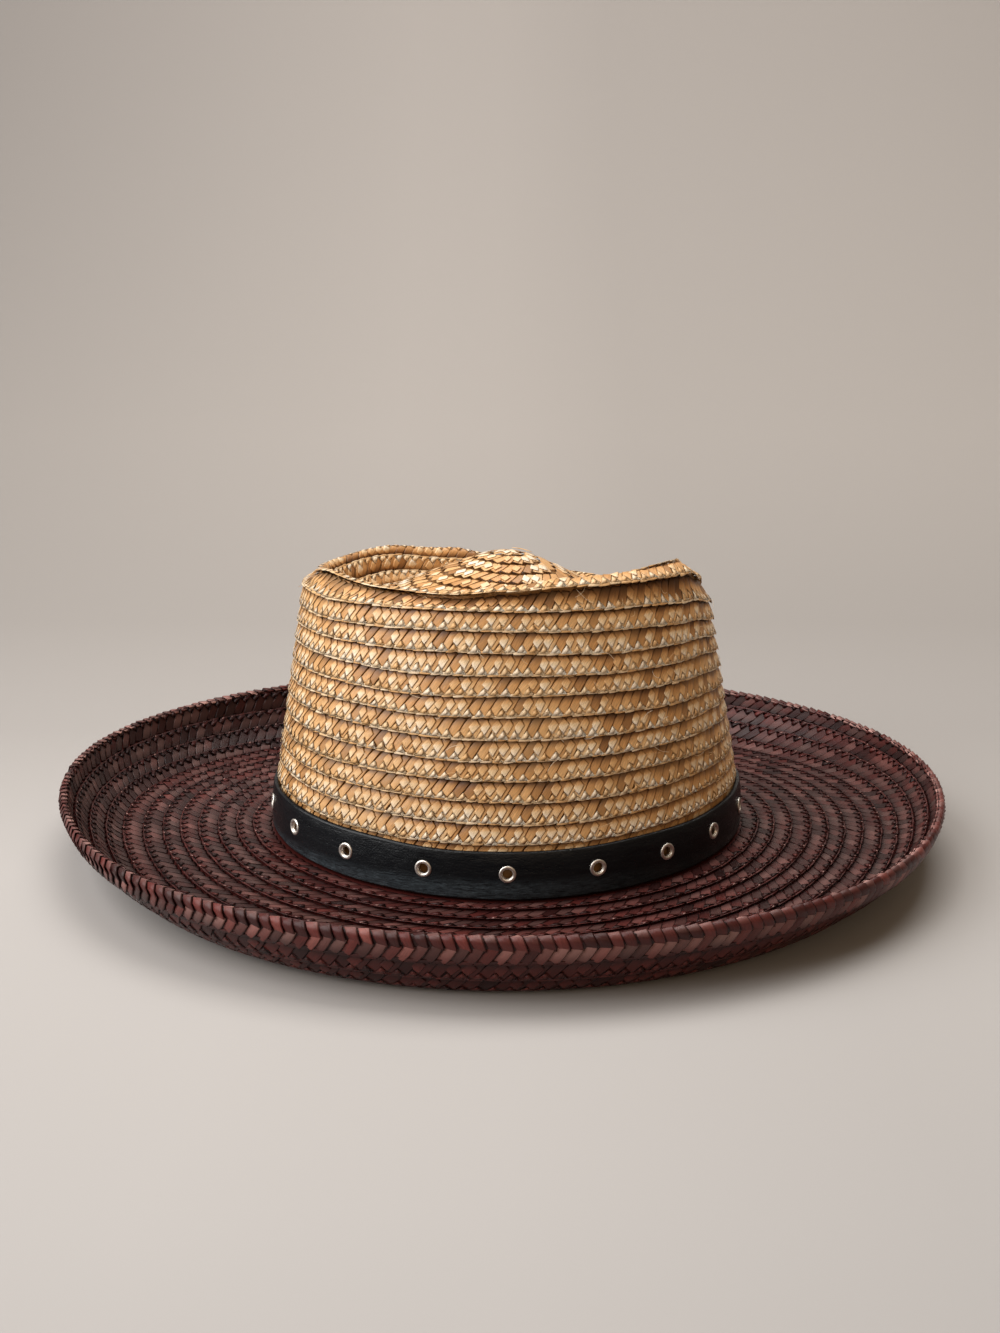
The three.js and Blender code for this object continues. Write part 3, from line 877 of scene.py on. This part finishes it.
def leather_material():
    """Smooth black leather: fine grain, soft creases with a shine along them, and a painted blue-grey sheen
    low down, broken up by scratches.
    """
    material, tree = new_material("black leather")
    place = object_place(tree)
    pores = socket(tree, "ShaderNodeTexVoronoi", "pores", {"Vector": place, "Scale": 1500.0})
    stretch = stretched(tree, "creases", place, (120.0, 120.0, 520.0))
    creases = noise(tree, "creases", stretch, 1.0, 4.0, 0.6, 0.6)
    swells = noise(tree, "swells", place, 55.0, 2.0)
    hair = stretched(tree, "scratches", place, (260.0, 260.0, 2600.0))
    scratches = noise(tree, "scratches", hair, 1.0, 3.0, 0.7, 0.8)
    sides = socket(tree, "ShaderNodeSeparateXYZ", "sides", {"Vector": place}).outputs
    eased = {"interpolation_type": "SMOOTHSTEP"}
    # Painted sheen: a blue-grey colour low down on the band, most on its left, broken up by the scratches,
    # stands in for reflected light.
    painted_highlight = ranged(tree, "rubbed low down", sides["Z"], (0.015, 0.009), **eased)
    marked = ranged(tree, "marked", scratches, (0.36, 0.70))
    left_sheen = ranged(tree, "handled on one side", sides["X"], (0.07, -0.02), (0.25, 1.0), **eased)
    painted_sheen = product(tree, "painted_sheen", product(tree, "rubbed marks", painted_highlight, marked), left_sheen)
    # The painted sheen's blue-grey colour.
    colour = mixed(tree, "worn", painted_sheen, (0.0030, 0.0045, 0.0060), (0.062, 0.080, 0.092))
    polish = ranged(tree, "polish", creases, (0.3, 0.7), (0.24, 0.42))
    normal = bumped(tree, "pores", pores.outputs["Distance"], 0.00012, 0.6)
    normal = bumped(tree, "scratches", scratches, 0.0001, 0.4, normal)
    normal = bumped(tree, "creases", creases, 0.0004, 0.5, normal)
    normal = bumped(tree, "swells", swells, 0.0018, 0.5, normal)
    finished(tree, Base_Color=colour, Roughness=polish, Normal=normal, Specular_IOR_Level=0.32)
    return material


def nickel_material():
    """Nickel plate, a little scratched and dulled."""
    material, tree = new_material("worn nickel")
    marks = noise(tree, "marks", object_place(tree), 900.0, 3.0, 0.7)
    colour = mixed(tree, "dulled", marks, (0.90, 0.86, 0.80), (0.66, 0.61, 0.55))
    polish = ranged(tree, "polish", marks, (0.3, 0.7), (0.34, 0.50))
    finished(tree, Base_Color=colour, Metallic=1.0, Roughness=polish)
    return material


# Painted light and shade on the paper: its tones from the front to the back, and greys from left to right
# that darken the left, where the key light falls strongest.
PAPER_TONES = (
    (0.0, (0.322, 0.307, 0.297)),
    (0.167, (0.41, 0.392, 0.379)),
    (0.273, (0.44, 0.417, 0.399)),
    (0.36, (0.344, 0.322, 0.305)),
    (0.467, (0.304, 0.281, 0.262)),
    (0.667, (0.316, 0.290, 0.268)),
    (0.92, (0.285, 0.261, 0.242)),
)
SIDE_GREYS = ((0.0, 0.69), (0.3, 0.90), (0.43, 0.975), (0.5, 0.965), (0.59, 0.89), (1.0, 0.87))


def plain_stage_material():
    """Studio paper whose tone changes from the front to the back and from left to right, as painted light
    and shade: darker on the left, where the key light falls strongest.
    """
    material, tree = new_material("studio paper")
    sides = socket(tree, "ShaderNodeSeparateXYZ", "sides", {"Vector": object_place(tree)}).outputs
    away = ranged(tree, "away", sides["Y"], (-0.7, 1.7))
    sweep = ramp(tree, "paper, from the front to the back", away, PAPER_TONES)
    across = ranged(tree, "across", sides["X"], (-0.7, 0.7))
    greys = [(place, (grey, grey, grey)) for place, grey in SIDE_GREYS]
    shade = ramp(tree, "paper, from left to right", across, greys)
    colour = mixed(tree, "paper", 1.0, sweep, shade, "MULTIPLY")
    finished(tree, Base_Color=colour, Roughness=0.85)
    return material


# Pieces

def crown_rise(turns, inner, across):
    """The crest's own row stands off the side rows along the near edge, with a gap under it."""
    azimuth = (turns % 1.0) * 360.0 - 180.0
    near = np.exp(-(((azimuth - LIP_AZIMUTH) / LIP_SPREAD) ** 4))
    share = np.clip(across, 0.0, 1.0)
    crest_row = np.exp(-(((inner - TOP_ROWS + 1.0) / LIP_ROW_SPREAD) ** 2))
    row_below = np.exp(-(((inner - TOP_ROWS) / LIP_ROW_SPREAD) ** 2))
    return near * (LIP_RISE * crest_row * share**2 - LIP_HOLLOW * row_below * (1.0 - share) ** 2)


def lay_start_tab(straws, skin):
    """The braid's cut end, folded over beside the middle of the dome."""
    s, t, quads, backs = pillow(4, 5)
    turns = TAB_TURN[0] + TAB_TURN[1] * s + TAB_TURN[2] * t
    rows = TAB_ROW[0] + TAB_ROW[1] * t
    lift = TAB_LIFT[0] + TAB_LIFT[1] * (1 - np.abs(s) ** 3) * (1 - np.abs(t) ** 4)
    points = skin.at(turns[None], rows[None], lift[None])
    straws.add(points, t, s, quads, backs, np.array([0.62]), TAB_GRAIN)


def lay_fibres(straws, skin, between, count, seed):
    """Fine split fibres that stand off the braid here and there, on a skin between two rows."""
    random = np.random.default_rng(seed)
    s, t, quads, backs = pillow(3, 6)
    way = random.uniform(*FIBRE_TURN, (count, 1))
    length = random.uniform(*FIBRE_LENGTH, (count, 1))
    curl = random.uniform(*FIBRE_CURL, (count, 1))
    run = t[None] * 0.5 * length
    sideways = curl * t[None] ** 2 + s[None] * FIBRE_HALF_WIDTH
    turns = random.uniform(0, 1, (count, 1)) + (run * np.cos(way) - sideways * np.sin(way)) / FIBRE_ROUND
    rows = random.uniform(*between, (count, 1)) + (run * np.sin(way) + sideways * np.cos(way)) / FIBRE_ROW
    lift = FIBRE_FOOT + random.uniform(*FIBRE_LIFT, (count, 1)) * (t[None] + 1) / 2
    lift = lift + FIBRE_BULGE * (1 - np.abs(s[None]))
    tones = random.uniform(*FIBRE_TONE, (count, 1))
    straws.add(skin.at(turns, rows, lift), t, s, quads, backs, tones, GRAIN_LENGTH)


# The crown's two braids outside, by row; size scales how far the straws bulge
CROWN_BRAIDS = (
    {"name": "crown_top_braid", "first": 0.4, "last": TOP_ROWS, "seed": 11,
     "size": 0.65, "tilt": 0.95, "groove": 0.4},
    {"name": "crown_side_braid", "first": TOP_ROWS, "last": CROWN_EDGE + 1.6, "seed": 23,
     "size": 1.0, "tilt": ROW_TILT, "groove": GROOVE},
)


def crown_outside_braid(row, skin, straw):
    """One of the crown's outside braids; the rows under the crest's near edge get a wider band of painted
    shade.
    """
    braid = Braid(skin, row["first"], row["last"], CROWN_PITCH, deepest=-1.3, rise=crown_rise)
    on_dome = braid.turns < DOME["rows"]
    under_lip = (braid.turns > TOP_ROWS + UNDER_LIP[0]) & (braid.turns < TOP_ROWS + UNDER_LIP[1])
    tilt = np.where(on_dome, 0.0, row["tilt"])
    groove = np.where(on_dome, DOME["groove"], row["groove"])
    size = np.where(on_dome, DOME["size"], row["size"])
    # Painted shade where each row tucks under the next: faint on the dome, full elsewhere, and wider under
    # the crest's near edge.
    dark = np.where(on_dome, DOME["dark"], 1.0)
    seam = np.where(under_lip, LIP_SEAM_WIDTH, SEAM_WIDTH)
    seed = row["seed"]
    tones = straw_tones(braid.count, seed, **CROWN_TONES)
    straws = Straws()
    lay_plait(straws, braid, tones, seed + 2, tilt=tilt, groove=groove, size=size, dark=dark, seam=seam)
    visible = np.flatnonzero(~on_dome & (braid.turns < CROWN_EDGE + UNDER_BAND))
    manner = {"tilt": tilt, "groove": GROOVE, "which": visible, "size": size}
    lay(straws, braid, "wedge", np.roll(tones, 2) * 0.5 + 0.44, seed + 3, **manner)
    lay(straws, braid, "bead", np.roll(tones, -2) * 0.5 + 0.38, seed + 4, **manner)
    if row["name"] == "crown_top_braid":
        lay_start_tab(straws, skin)
    else:
        lay_fibres(straws, skin, (TOP_ROWS, CROWN_EDGE), FIBRES, 91)
    return straws.object(row["name"], straw)


def crown_inside_braid(straw):
    last = CROWN_LAST - 0.75
    rules = {"deepest": -1.2, "clockwise": True, "limits": (0.05, CROWN_LAST)}
    braid = Braid(crown_inside_skin(), 0.0, last, CROWN_PITCH, **rules)
    tones = straw_tones(braid.count, 31, **INSIDE_TONES)
    straws = Straws()
    manner = {"tilt": 0.4, "size": 0.8}
    # dark paints shade where each row tucks under the next.
    lay(straws, braid, "slant", tones, 32, dark=0.5, **manner)
    lay(straws, braid, "bead", np.roll(tones, 2), 33, **manner)
    return straws.object("crown_inside_braid", straw)


def crown_pieces(grain):
    straw = straw_material(NATURAL_STRAW, grain)
    outside = crown_skin()
    pieces = [wall("crown_wall", outside, 0.0, CROWN_LAST, CROWN_LINING, 144, straw, 0.25)]
    pieces += [crown_outside_braid(row, outside, straw) for row in CROWN_BRAIDS]
    pieces.append(crown_inside_braid(straw))
    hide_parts("crown")
    for piece in pieces:
        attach(piece, "root")


def brim_top_braid(top, straw):
    braid = Braid(top, 0.55, BRIM_ROWS + 0.88, BRIM_PITCH, deepest=-0.75, limits=(0.0, BRIM_ROWS))
    tones = straw_tones(braid.count, 41, **BRIM_TONES)
    # Painted shade on the left: the turned-up rows there are darkened where their inside faces away from the
    # key light.
    turned_up = np.clip(braid.turns - FLOOR_ROWS, 0.0, 1.0)
    left_side = np.maximum(np.cos(2 * np.pi * (braid.turns % 1.0 + LEFT_SHADE_TURN)), 0.0)
    tones = tones * (1.0 - LEFT_SHADE * turned_up * left_side)
    straws = Straws()
    random = np.random.default_rng(46)
    turned = np.flatnonzero(random.uniform(0, 1, braid.count) < TURNED_SHARE)
    beads = np.roll(tones, -2) * 0.6 + 0.2
    manner = {"tilt": BRIM_TILT, "size": 0.6}
    # The worn bands paint pale highlights: faint ones across the slants, glints on the beads and turns at
    # each row's edge. dark paints shade where each row tucks under the next.
    lay(straws, braid, "slant", tones, 43, BRIM_TILT, 0.3, size=0.3, worn=(0.5, 0.3, 0.16), dark=0.8)
    lay(straws, braid, "wedge", np.roll(tones, 2), 44, BRIM_TILT, size=0.4)
    lay(straws, braid, "bead", beads, 45, worn=(0.95, 0.04, 0.25), **manner)
    lay(straws, braid, "turn", np.roll(tones, 1), 47, which=turned, worn=(0.96, 0.1, 0.7), **manner)
    return straws.object("brim_top_braid", straw)


def brim_under_braid(under, straw):
    rules = {"deepest": -0.9, "clockwise": True, "limits": (1.0, BRIM_ROWS + BRIM_HIDDEN - 0.05)}
    braid = Braid(under, 1.12, BRIM_ROWS + 1.2, BRIM_PITCH, **rules)
    tones = straw_tones(braid.count, 51, **UNDER_TONES)
    straws = Straws()
    # dark paints shade where each row tucks under the next.
    lay_plait(straws, braid, tones, 53, tilt=UNDER_TILT, groove=0.5, dark=0.9)
    lay(straws, braid, "wedge", np.roll(tones, 2), 54, UNDER_TILT)
    lay(straws, braid, "bead", np.roll(tones, -2), 55, UNDER_TILT)
    return straws.object("brim_under_braid", straw)


def rim_row_edge(turns):
    """The rim's braid is a single turn: its outer edge is at row 1 and its inner edge at row 0."""
    return np.where(turns < 0.9999, 0.0, 1.0)


def rim_braid(rim, straw):
    braid = Braid(rim, 1.0, 2.0, RIM_PITCH, deepest=-1.2, limits=(0.0, 1.0))
    braid.edge = rim_row_edge
    tones = straw_tones(braid.count, 61, **RIM_TONES)
    straws = Straws()
    # The worn bands paint pale highlights along the upper arms' top edge, over the rim, and fainter ones on
    # the lower arms; outline paints shade along each straw's edges.
    lay(straws, braid, "upper arm", tones, 62, worn=(0.06, 0.14, 1.0), outline=0.6)
    lay(straws, braid, "lower arm", np.roll(tones, 3), 63, worn=(0.6, 0.25, 0.3), outline=0.6)
    lay(straws, braid, "bead", np.roll(tones, 1) * 0.6, 64, size=0.8)
    return straws.object("rim_braid", straw)


def keep_above_floor(piece):
    """Moves what lies lower than the least height up to it."""
    points = np.empty(len(piece.data.vertices) * 3, dtype=np.float32)
    piece.data.vertices.foreach_get("co", points)
    points[2::3] = np.maximum(points[2::3], np.float32(LEAST_HEIGHT))
    piece.data.vertices.foreach_set("co", points)
    piece.data.update()


def brim_pieces(grain):
    straw = straw_material(DYED_STRAW, grain)
    top = brim_skin()
    under = brim_under_skin()
    rim = rim_skin(top, under)
    pieces = [
        wall("brim_wall", top, -BRIM_HIDDEN, BRIM_ROWS - 0.05, BRIM_LINING, 180, straw, 0.42),
        brim_top_braid(top, straw),
        brim_under_braid(under, straw),
        wall("rim_wall", rim, 0.06, 0.98, RIM_LINING, 240, straw, 0.12, per_row=14),
        rim_braid(rim, straw),
    ]
    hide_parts("brim")
    for piece in pieces:
        keep_above_floor(piece)
        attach(piece, "root")


def band_frame(azimuth):
    """The middle line of the band's outer face: its place, the way out and the band's foot."""
    half = BAND_HALF - BAND_LEAN * EYELET_RISE
    half_depth = BAND_HALF_DEPTH - BAND_LEAN * EYELET_RISE
    angle = math.radians(azimuth)
    foot = floor_height(azimuth, 0.0) + FIT_GAP
    place = Vector((CROWN_CENTRE_X + half * math.cos(angle), half_depth * math.sin(angle),
                    foot + BAND_HEIGHT * EYELET_RISE))
    out = Vector((math.cos(angle) / half, math.sin(angle) / half_depth, 0.0)).normalized()
    out.z = BAND_LEAN / BAND_HEIGHT
    return place, out.normalized()


def band_section():
    """The strap's section with its rounded corners, as (inwards, up)."""
    corner = BAND_CORNER
    profile = []
    for centre_in, centre_up, start in (
        (corner, BAND_HEIGHT - corner, 0.0),
        (BAND_THICKNESS - corner, BAND_HEIGHT - corner, 90.0),
        (BAND_THICKNESS - corner, corner, 180.0),
        (corner, corner, 270.0),
    ):
        for step in range(5):
            angle = math.radians(start + step * 22.5)
            profile.append((centre_in - corner * math.cos(angle), centre_up + corner * math.sin(angle)))
    for share in (0.2, 0.4, 0.6, 0.8):
        profile.append((0.0, mix(corner, BAND_HEIGHT - corner, share)))
    return profile


def drill_holes(band):
    """Cuts the band's holes, one for each eyelet."""
    drill = bmesh.new()
    for azimuth in (*SEEN_EYELETS, *HIDDEN_EYELETS):
        place, out = band_frame(azimuth)
        turn = out.to_track_quat("Z", "Y").to_matrix().to_4x4()
        bmesh.ops.create_cone(drill, cap_ends=True, segments=24, radius1=HOLE_RADIUS * MM,
                              radius2=HOLE_RADIUS * MM, depth=4 * BAND_THICKNESS * MM,
                              matrix=Matrix.Translation(place * MM) @ turn)
    drill_mesh = bpy.data.meshes.new("drills")
    drill.to_mesh(drill_mesh)
    drill.free()
    drills = link(bpy.data.objects.new("drills", drill_mesh))
    cut = band.modifiers.new("holes", "BOOLEAN")
    cut.operation = "DIFFERENCE"
    cut.solver = "EXACT"
    cut.object = drills
    apply_modifiers(band)
    bpy.data.objects.remove(drills)


def band_piece(leather):
    """A strap with rounded edges round the crown's foot, a little wavy, with a hole for each eyelet."""
    profile = band_section()
    loops = []
    for step in range(BAND_STEPS):
        azimuth = step * 360.0 / BAND_STEPS
        angle = math.radians(azimuth)
        foot = floor_height(azimuth, 0.0) + FIT_GAP
        edge_wave = 0.22 * math.sin(5 * angle + 0.6) + 0.15 * math.sin(11 * angle)
        face_wave = 0.14 * math.sin(7 * angle) + 0.10 * math.sin(17 * angle + 2.0)
        loop = []
        for inwards, up in profile:
            share = up / BAND_HEIGHT
            swell = BAND_SWELL * math.sin(math.pi * share) * (1.0 - inwards / BAND_THICKNESS)
            inset = inwards + BAND_LEAN * share - swell - face_wave * (1.0 - inwards / BAND_THICKNESS)
            height = foot + up + edge_wave * share
            loop.append((CROWN_CENTRE_X + (BAND_HALF - inset) * math.cos(angle),
                         (BAND_HALF_DEPTH - inset) * math.sin(angle), height))
        loops.append(loop)
    band = ring_mesh("leather_band", np.array(loops), leather)
    drill_holes(band)
    band.data.shade_smooth()
    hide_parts("band")
    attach(band, "root")


def apply_modifiers(piece):
    """Keeps the piece's evaluated shape as a plain mesh."""
    bpy.context.view_layer.update()
    evaluated = piece.evaluated_get(bpy.context.evaluated_depsgraph_get())
    mesh = bpy.data.meshes.new_from_object(evaluated)
    piece.modifiers.clear()
    piece.data = mesh


def node_tree(name, inputs):
    """An empty Geometry Nodes tree with the named number inputs."""
    tree = bpy.data.node_groups.new(name, "GeometryNodeTree")
    tree.interface.new_socket("Geometry", in_out="INPUT", socket_type="NodeSocketGeometry")
    for label in inputs:
        tree.interface.new_socket(label, in_out="INPUT", socket_type="NodeSocketFloat")
    tree.interface.new_socket("Geometry", in_out="OUTPUT", socket_type="NodeSocketGeometry")
    return tree, tree.nodes.new("NodeGroupInput"), tree.nodes.new("NodeGroupOutput")


def set_inputs(modifier, tree, values):
    for item in tree.interface.items_tree:
        if item.item_type == "SOCKET" and item.in_out == "INPUT" and item.name in values:
            modifier[item.identifier] = values[item.name]


def circle(tree, name, radius, resolution):
    inputs = {"Radius": radius, "Resolution": resolution}
    return socket(tree, "GeometryNodeCurvePrimitiveCircle", name, inputs).outputs["Curve"]


def swept(tree, name, curve, section, place, scale=(1.0, 1.0, 1.0)):
    """A section swept along a curve, scaled and moved to its place."""
    shape = socket(tree, "GeometryNodeCurveToMesh", name, {"Curve": curve, "Profile Curve": section})
    inputs = {"Geometry": shape.outputs["Mesh"], "Translation": place, "Scale": scale}
    return socket(tree, "GeometryNodeTransform", name, inputs).outputs["Geometry"]


def eyelets_piece(nickel):
    """A rolled ring and a barrel in each of the band's holes."""
    tree, start, end = node_tree("rolled eyelets", EYELET_SIZES)
    ring = circle(tree, "ring", start.outputs["Ring Radius"], 36)
    roll = circle(tree, "roll", start.outputs["Roll Radius"], 12)
    lifted = swept(tree, "rolled ring", ring, roll, (0.0, 0.0, EYELET_LIFT), (1.0, 1.0, 0.62))
    bore = circle(tree, "bore", start.outputs["Barrel Radius"], 36)
    sheet = socket(tree, "GeometryNodeCurvePrimitiveQuadrilateral", "barrel section",
                   {"Width": 0.0003, "Height": start.outputs["Barrel Depth"]}).outputs["Curve"]
    sunk = swept(tree, "barrel", bore, sheet, (0.0, 0.0, -EYELET_LIFT))
    joined = tree.nodes.new("GeometryNodeJoinGeometry")
    for half in (lifted, sunk):
        tree.links.new(half, joined.inputs["Geometry"])
    out = socket(tree, "GeometryNodeInputNamedAttribute", "way out", {"Name": "outwards"},
                 data_type="FLOAT_VECTOR")
    turned = socket(tree, "FunctionNodeAlignRotationToVector", "facing out",
                    {"Vector": out.outputs["Attribute"]}, axis="Z")
    placed = socket(tree, "GeometryNodeInstanceOnPoints", "one in each hole",
                    {"Points": start.outputs["Geometry"], "Instance": joined.outputs["Geometry"],
                     "Rotation": turned.outputs["Rotation"]})
    real = socket(tree, "GeometryNodeRealizeInstances", "real", {"Geometry": placed.outputs["Instances"]})
    smooth = socket(tree, "GeometryNodeSetShadeSmooth", "smooth", {"Geometry": real.outputs["Geometry"]})
    dressed = socket(tree, "GeometryNodeSetMaterial", "nickel",
                     {"Geometry": smooth.outputs["Geometry"], "Material": nickel})
    tree.links.new(dressed.outputs["Geometry"], end.inputs["Geometry"])

    frames = [band_frame(azimuth) for azimuth in (*SEEN_EYELETS, *HIDDEN_EYELETS)]
    points = bpy.data.meshes.new("eyelets")
    points.from_pydata([place * MM for place, _ in frames], [], [])
    ways = points.attributes.new("outwards", "FLOAT_VECTOR", "POINT")
    ways.data.foreach_set("vector", np.array([out for _, out in frames], dtype=np.float32).ravel())
    piece = link(bpy.data.objects.new("eyelets", points))
    modifier = piece.modifiers.new("rolled eyelets", "NODES")
    modifier.node_group = tree
    set_inputs(modifier, tree, EYELET_SIZES)
    apply_modifiers(piece)
    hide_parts(*(f"eyelet_{number + 1:02d}" for number in range(len(frames))))
    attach(piece, "root")


# Studio

PAPER = {"half_width": 3.5, "front": -3.0, "bend": 0.5, "radius": 1.2, "top": 3.6, "steps": 16}
LIGHTS = (
    {"name": "key", "place": (-1.75, -0.55, 1.5), "target": (0.0, 0.0, 0.05), "size": (2.6, 2.6),
     "power": 89.0, "colour": (0.985, 0.99, 1.0)},
    {"name": "front", "place": (0.3, -2.2, 1.1), "target": (0.0, 0.0, 0.1), "size": (1.8, 0.8),
     "power": 5.5, "colour": (1.0, 0.74, 0.52)},
    {"name": "top", "place": (0.15, 0.5, 2.2), "target": (0.0, 0.0, 0.0), "size": (1.6, 1.6),
     "power": 36.0, "colour": (1.0, 0.985, 0.96)},
    {"name": "backdrop", "place": (0.6, 0.55, 1.1), "target": (0.3, 1.7, 0.35), "size": (0.8, 0.4),
     "power": 5.0, "colour": (1.0, 0.97, 0.93)},
)
CAMERA_PLACE = (-0.00097, -0.71378, 0.26214)
CAMERA_TILT = 75.491
FOCAL_PIXELS = 1700.0
PHOTO_ROWS = 1333.0
SENSOR = 36.0


def stage_pieces():
    """A paper sweep: the floor, a wide curve and the wall behind."""
    bend, radius, steps = PAPER["bend"], PAPER["radius"], PAPER["steps"]
    profile = [(PAPER["front"], 0.0), (bend, 0.0)]
    for step in range(1, steps + 1):
        angle = math.radians(90.0 * step / steps)
        profile.append((bend + radius * math.sin(angle), radius * (1.0 - math.cos(angle))))
    profile.append((bend + radius, PAPER["top"]))
    mesh = bpy.data.meshes.new("paper_sweep")
    points = [(side * PAPER["half_width"], y, z) for y, z in profile for side in (-1, 1)]
    faces = [(2 * i, 2 * i + 1, 2 * i + 3, 2 * i + 2) for i in range(len(profile) - 1)]
    mesh.from_pydata(points, [], faces)
    mesh.shade_smooth()
    mesh.materials.append(plain_stage_material())
    link(bpy.data.objects.new("paper_sweep", mesh))


def area_light(row):
    light = bpy.data.lights.new(row["name"], "AREA")
    light.shape = "RECTANGLE"
    light.size, light.size_y = row["size"]
    light.energy = row["power"]
    light.color = row["colour"]
    lamp = link(bpy.data.objects.new(row["name"], light))
    lamp.location = row["place"]
    way = Vector(row["target"]) - Vector(row["place"])
    lamp.rotation_euler = way.to_track_quat("-Z", "Y").to_euler()


def surroundings():
    """Warm light from all round; where the camera looks past the paper it sees a pale wall."""
    world = bpy.data.worlds.new("studio")
    world.use_nodes = True
    tree = world.node_tree
    tree.nodes.clear()
    glow = socket(tree, "ShaderNodeBackground", "warm light",
                  {"Color": (1.0, 0.75, 0.51, 1.0), "Strength": 0.24})
    pale = socket(tree, "ShaderNodeBackground", "pale wall", {"Color": (0.47, 0.44, 0.405, 1.0)})
    seen = socket(tree, "ShaderNodeLightPath", "seen by the camera")
    either = socket(tree, "ShaderNodeMixShader", "light or wall",
                    {0: seen.outputs["Is Camera Ray"], 1: glow.outputs["Background"],
                     2: pale.outputs["Background"]})
    socket(tree, "ShaderNodeOutputWorld", "surroundings", {"Surface": either.outputs["Shader"]})
    bpy.context.scene.world = world


def studio():
    stage_pieces()
    for row in LIGHTS:
        area_light(row)
    surroundings()
    bpy.context.scene.view_settings.view_transform = "Standard"


def camera():
    lens = bpy.data.cameras.new("camera")
    lens.lens = FOCAL_PIXELS / PHOTO_ROWS * SENSOR
    lens.sensor_width = SENSOR
    view = link(bpy.data.objects.new("camera", lens))
    view.location = CAMERA_PLACE
    view.rotation_euler = (math.radians(CAMERA_TILT), 0.0, 0.0)
    bpy.context.scene.camera = view


def build():
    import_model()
    grain = straw_grain_group()
    crown_pieces(grain)
    brim_pieces(grain)
    band_piece(leather_material())
    eyelets_piece(nickel_material())
    studio()
    camera()


build()
